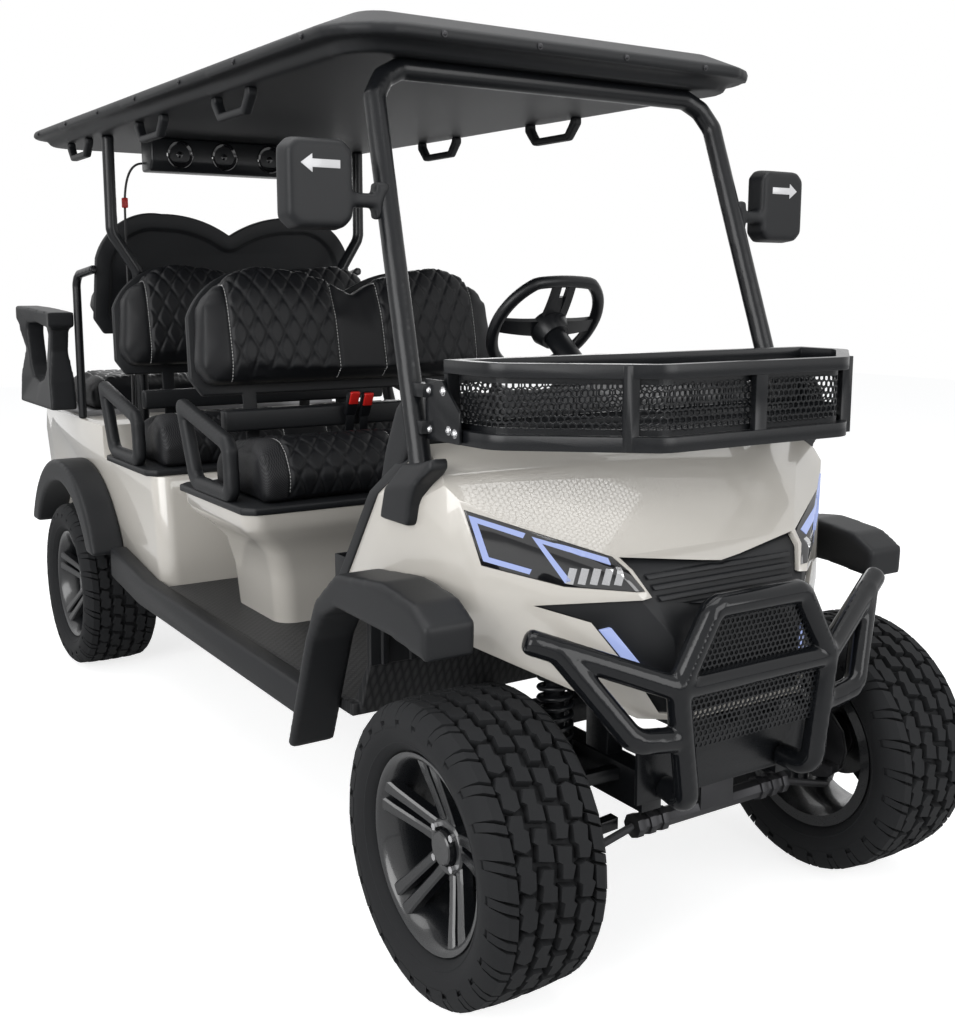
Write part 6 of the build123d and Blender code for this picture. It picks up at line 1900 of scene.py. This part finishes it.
# %% Fit the speakers
SOUND_LOW, SOUND_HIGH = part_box("sound_bar")
DRIVER_Y = (-0.245, -0.085, 0.085, 0.245)
DRIVER_CONE = [
    # depth out of the face, radius
    (-0.004, 0.0004),
    (-0.004, 0.047),
    (0.003, 0.047),
    (0.005, 0.044),
    (0.003, 0.040),
    (-0.001, 0.034),
    (-0.003, 0.014),
    (0.001, 0.010),
    (0.003, 0.0004),
]
DRIVER_SEGMENTS = 40

drivers = []
for y in DRIVER_Y:
    cone = spun(DRIVER_CONE, DRIVER_SEGMENTS)
    place = (SOUND_HIGH[0], y, (SOUND_LOW[2] + SOUND_HIGH[2]) / 2)
    cone.transform(Matrix.Translation(place) @ Matrix.Rotation(-pi / 2, 4, "Z"))
    drivers.append(plain(cone))
fitted("speaker_drivers", joined(drivers), gloss_black)
print("drivers:", len(DRIVER_Y))

# %% [markdown]
# ## Mirrors
# Each mirror carries a lit arrow on its front, which repeats the turn signal, and silvered glass on its back.
# Both are flat outlines given a little thickness. They are drawn in a plane and stood up to face forward,
# just clear of the smoothed skin of the mirror.

# %% Fit the arrow lamps and the glass
ARROW = [
    # across from the arrow's middle, up
    (0.045, 0.0),
    (0.020, 0.018),
    (0.020, 0.008),
    (-0.040, 0.008),
    (-0.040, -0.008),
    (0.020, -0.008),
    (0.020, -0.018),
]
MIRROR_LOW, MIRROR_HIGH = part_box("mirrors")
ARROW_Y, ARROW_Z, ARROW_LIFT = 0.640, 1.588, 0.0008
GLASS_Y, GLASS_Z, GLASS_LIFT = (0.578, 0.703), (1.476, 1.626), 0.0032
PANE_THICKNESS = 0.002
FACING_FRONT = Matrix(((0, 0, 1, 0), (1, 0, 0, 0), (0, 1, 0, 0), (0, 0, 0, 1)))


def pane(outline, place):
    """Bmesh of a flat (across, up) outline with a little thickness, upright at a place and facing forward."""
    mesh = loft(bmesh.new(), [[(u, v, z) for u, v in outline] for z in (0.0, PANE_THICKNESS)])
    mesh.transform(Matrix.Translation(place) @ FACING_FRONT)
    return mesh


arrows, glasses = [], []
for side in (-1, 1):
    arrow = [(side * u, v) for u, v in ARROW]
    arrows.append(rounded(pane(arrow, (MIRROR_HIGH[0] + ARROW_LIFT, side * ARROW_Y, ARROW_Z)), 0.0006))
    (low, high), (foot, top) = GLASS_Y, GLASS_Z
    glass = [(side * u, v) for u, v in ((low, foot), (high, foot), (high, top), (low, top))]
    glasses.append(rounded(pane(glass, (MIRROR_LOW[0] - GLASS_LIFT, 0, 0)), 0.0008))
arrow_lens = glowing("arrow_lens", (0.90, 0.90, 0.92), 0.55)
silvered = grained(
    "silvered_glass", (0.80, 0.82, 0.84), (0.86, 0.88, 0.90), 0.03, 3.0, 0.0, 0.01, Metallic=1.0
)
fitted("arrow_lamps", joined(arrows), arrow_lens)
fitted("mirror_glass", joined(glasses), silvered)
print("mirrors:", len(glasses))

# %% [markdown]
# ## Belt buckles
# Two belt buckles with red buttons stand between the seats of the front bench, each on its stalk. Behind the
# cushions of both benches runs the rail that the belts are bolted to. All of them are small bricks with
# rounded edges, leant where the real ones lean.

# %% Fit the buckles and the belt rails
BUCKLE_PLACES = [(-1.352, -0.066, 0.990), (-1.352, -0.020, 0.984)]
BUCKLE_LEAN = radians(24)
BELT_RAILS = [
    # ahead of the front axle, Z
    (-1.405, 0.972),
    (-2.128, 0.978),
]
RAIL_SIZE = (0.040, 0.90, 0.062)
BUCKLE_SIZE, STALK_SIZE, BUTTON_SIZE = (0.020, 0.036, 0.078), (0.007, 0.028, 0.100), (0.010, 0.030, 0.040)


def block(size, place, lean=0.0):
    """Bmesh of a brick about a place, leant about the Y axis."""
    mesh = bmesh.new()
    bmesh.ops.create_cube(mesh, size=1.0, matrix=Matrix.Diagonal((*size, 1.0)))
    mesh.transform(Matrix.Translation(place) @ Matrix.Rotation(lean, 4, "Y"))
    return mesh


bodies, buttons = [], []
for ahead, y, z in BUCKLE_PLACES:
    x = station(ahead)
    bodies.append(rounded(block(BUCKLE_SIZE, (x, y, z + 0.020), BUCKLE_LEAN), 0.005, 3))
    bodies.append(rounded(block(STALK_SIZE, (x - 0.016, y, z - 0.045), BUCKLE_LEAN / 2), 0.002))
    buttons.append(rounded(block(BUTTON_SIZE, (x + 0.017, y, z + 0.036), BUCKLE_LEAN), 0.003, 3))
rails = [rounded(block(RAIL_SIZE, (station(ahead), 0, z)), 0.008, 3) for ahead, z in BELT_RAILS]
red_button = grained("red_button", (0.50, 0.012, 0.010), (0.62, 0.02, 0.015), 0.35, 300.0, 0.00005)
fitted("buckle_bodies", joined(bodies), smooth_plastic)
fitted("buckle_buttons", joined(buttons), red_button)
fitted("belt_rails", joined(rails), plastic)
print("buckles:", len(BUCKLE_PLACES))

# %% [markdown]
# ## Trim and pockets of the cowl
# A rubber trim covers the rear edge of the cowl, and a small open pocket hangs inside it on each side. The
# trim has to follow the cowl's curve, so a line is cast in from the side at each height to find the surface,
# and a skin is drawn over the sections that stand there. The pocket is a brick whose top is pushed in.

# %% Fit the cowl's trim and pockets
TRIM_HEIGHTS = (0.56, 1.01)
TRIM_WIDTH, TRIM_DEPTH = 0.030, 0.022
POCKET_SIZE, POCKET_Y, POCKET_Z = (0.070, 0.075, 0.120), 0.470, 0.690
TRIM_STEPS, TRIM_LAP, TRIM_LIFT, TRIM_PROBE = 24, 0.008, 0.004, 0.006
POCKET_LAP, POCKET_WALL, POCKET_DRAFT, POCKET_DEPTH = 0.004, 0.006, 0.001, 0.8
cowl_tree = search_tree(frame["nodes"]["front_cowl"].data)


def trim_sections(side):
    """Four-cornered sections of the trim on one side, from its foot up."""
    sections = []
    for step in range(TRIM_STEPS):
        z = TRIM_HEIGHTS[0] + (TRIM_HEIGHTS[1] - TRIM_HEIGHTS[0]) * step / (TRIM_STEPS - 1)
        edge_x = cowl_rear_x(z)
        hit, _, _, _ = cowl_tree.ray_cast(Vector((edge_x + TRIM_PROBE, side, z)), Vector((0, -side, 0)))
        if hit:
            front, back = edge_x + TRIM_LAP, edge_x - TRIM_WIDTH
            out, inside = hit.y + side * TRIM_LIFT, hit.y - side * TRIM_DEPTH
            sections.append([(front, out, z), (back, out, z), (back, inside, z), (front, inside, z)])
    return sections


def open_pocket(side):
    """Brick with its top pushed in, behind the trim of one side."""
    length, _, height = POCKET_SIZE
    x = cowl_rear_x(POCKET_Z) - TRIM_WIDTH - length / 2 + POCKET_LAP
    mesh = block(POCKET_SIZE, (x, side * POCKET_Y, POCKET_Z))
    mouth = max(mesh.faces, key=lambda f: f.calc_center_median().z)
    bmesh.ops.inset_region(mesh, faces=[mouth], thickness=POCKET_WALL, depth=0.0)
    bmesh.ops.inset_region(mesh, faces=[mouth], thickness=POCKET_DRAFT, depth=-POCKET_DEPTH * height)
    return mesh


trims = [rounded(loft(bmesh.new(), trim_sections(side)), 0.005, 3) for side in (-1, 1)]
pockets = [rounded(open_pocket(side), 0.003, 3) for side in (-1, 1)]
fitted("side_pockets", joined(pockets), plastic)
fitted("cowl_trim", joined(trims), plastic)
print("trims:", len(trims), "pockets:", len(pockets))

# %% [markdown]
# ## Light
# The picture has the even light of a large tent. A broad lamp overhead and one on each side give long soft
# highlights on the lacquer, and weaker ones from the front and the rear lift the ends.


# %% Light the studio
def soft_lamp(name, place, target, size, power):
    """Rectangular lamp at a place, aimed at a target."""
    lamp_data = bpy.data.lights.new(name, "AREA")
    lamp_data.shape = "RECTANGLE"
    lamp_data.size, lamp_data.size_y = size
    lamp_data.energy = power
    lamp = shown(name, lamp_data)
    lamp.location = place
    lamp.rotation_euler = (Vector(target) - Vector(place)).to_track_quat("-Z", "Y").to_euler()


soft_lamp("overhead_lamp", (0.6, -0.6, 5.0), (0.0, 0.0, 0.6), (6.0, 4.0), 195.0)
soft_lamp("right_lamp", (2.6, -5.0, 2.6), (0.2, 0.0, 0.8), (4.5, 3.0), 215.0)
soft_lamp("front_lamp", (6.0, 1.4, 2.4), (0.6, 0.0, 0.8), (3.5, 3.0), 110.0)
soft_lamp("rear_lamp", (-5.0, 3.0, 3.0), (0.0, 0.0, 0.8), (4.0, 3.0), 90.0)

# %% [markdown]
# ## Surroundings
# The world fills the shadows with a dim cool light. What the camera, reflections and clear pieces see beyond
# the floor is plain white instead, and the kind of each ray decides which of the two it meets.

# %% Set the white surroundings
FILL_COLOUR, FILL_STRENGTH = (0.96, 0.98, 1.0, 1.0), 0.34
WHITE = (1.0, 1.0, 1.0, 1.0)

world = bpy.data.worlds.new("studio")
bpy.context.scene.world = world
world.use_nodes = True
sky = world.node_tree
rays = sky.nodes.new("ShaderNodeLightPath")
seen = rays.outputs["Is Camera Ray"]
for kind in ("Is Transmission Ray", "Is Glossy Ray"):
    either = sky.nodes.new("ShaderNodeMath")
    either.operation = "MAXIMUM"
    sky.links.new(seen, either.inputs[0])
    sky.links.new(rays.outputs[kind], either.inputs[1])
    seen = either.outputs[0]
choice = sky.nodes.new("ShaderNodeMixShader")
sky.links.new(seen, choice.inputs[0])
for socket, colour, strength in ((1, FILL_COLOUR, FILL_STRENGTH), (2, WHITE, 1.0)):
    background = sky.nodes.new("ShaderNodeBackground")
    background.inputs["Color"].default_value = colour
    background.inputs["Strength"].default_value = strength
    sky.links.new(background.outputs[0], choice.inputs[socket])
sky.links.new(choice.outputs[0], sky.nodes["World Output"].inputs["Surface"])
print("world nodes:", len(sky.nodes))

# %% [markdown]
# ## Floor
# The floor is pale and matt, and it takes the shadow that holds the cart to the ground. To the camera it
# glows a little, so that away from the shadow it runs into the white without a line.

# %% Lay the floor
FLOOR_REACH = 14.0
FLOOR_GREY, FLOOR_GLOW, FLOOR_SEEN_GLOW = [(level, level, level, 1.0) for level in (0.60, 0.12, 0.77)]

floor_finish = Finish("studio_floor", Roughness=0.9, Base_Color=FLOOR_GREY, Specular_IOR_Level=0.0)
floor_seen = floor_finish.node("ShaderNodeLightPath", output="Is Camera Ray")
floor_finish.feed("Emission Color", floor_finish.mix(floor_seen, FLOOR_GLOW, FLOOR_SEEN_GLOW))
floor_finish.shader.inputs["Emission Strength"].default_value = 1.0
floor_mesh = bmesh.new()
bmesh.ops.create_grid(floor_mesh, x_segments=1, y_segments=1, size=FLOOR_REACH)
floor = shown("studio_floor", plain_mesh(floor_mesh, "studio_floor"))
floor.data.materials.append(floor_finish.material)
print("floor reaches", FLOOR_REACH, "m each way")
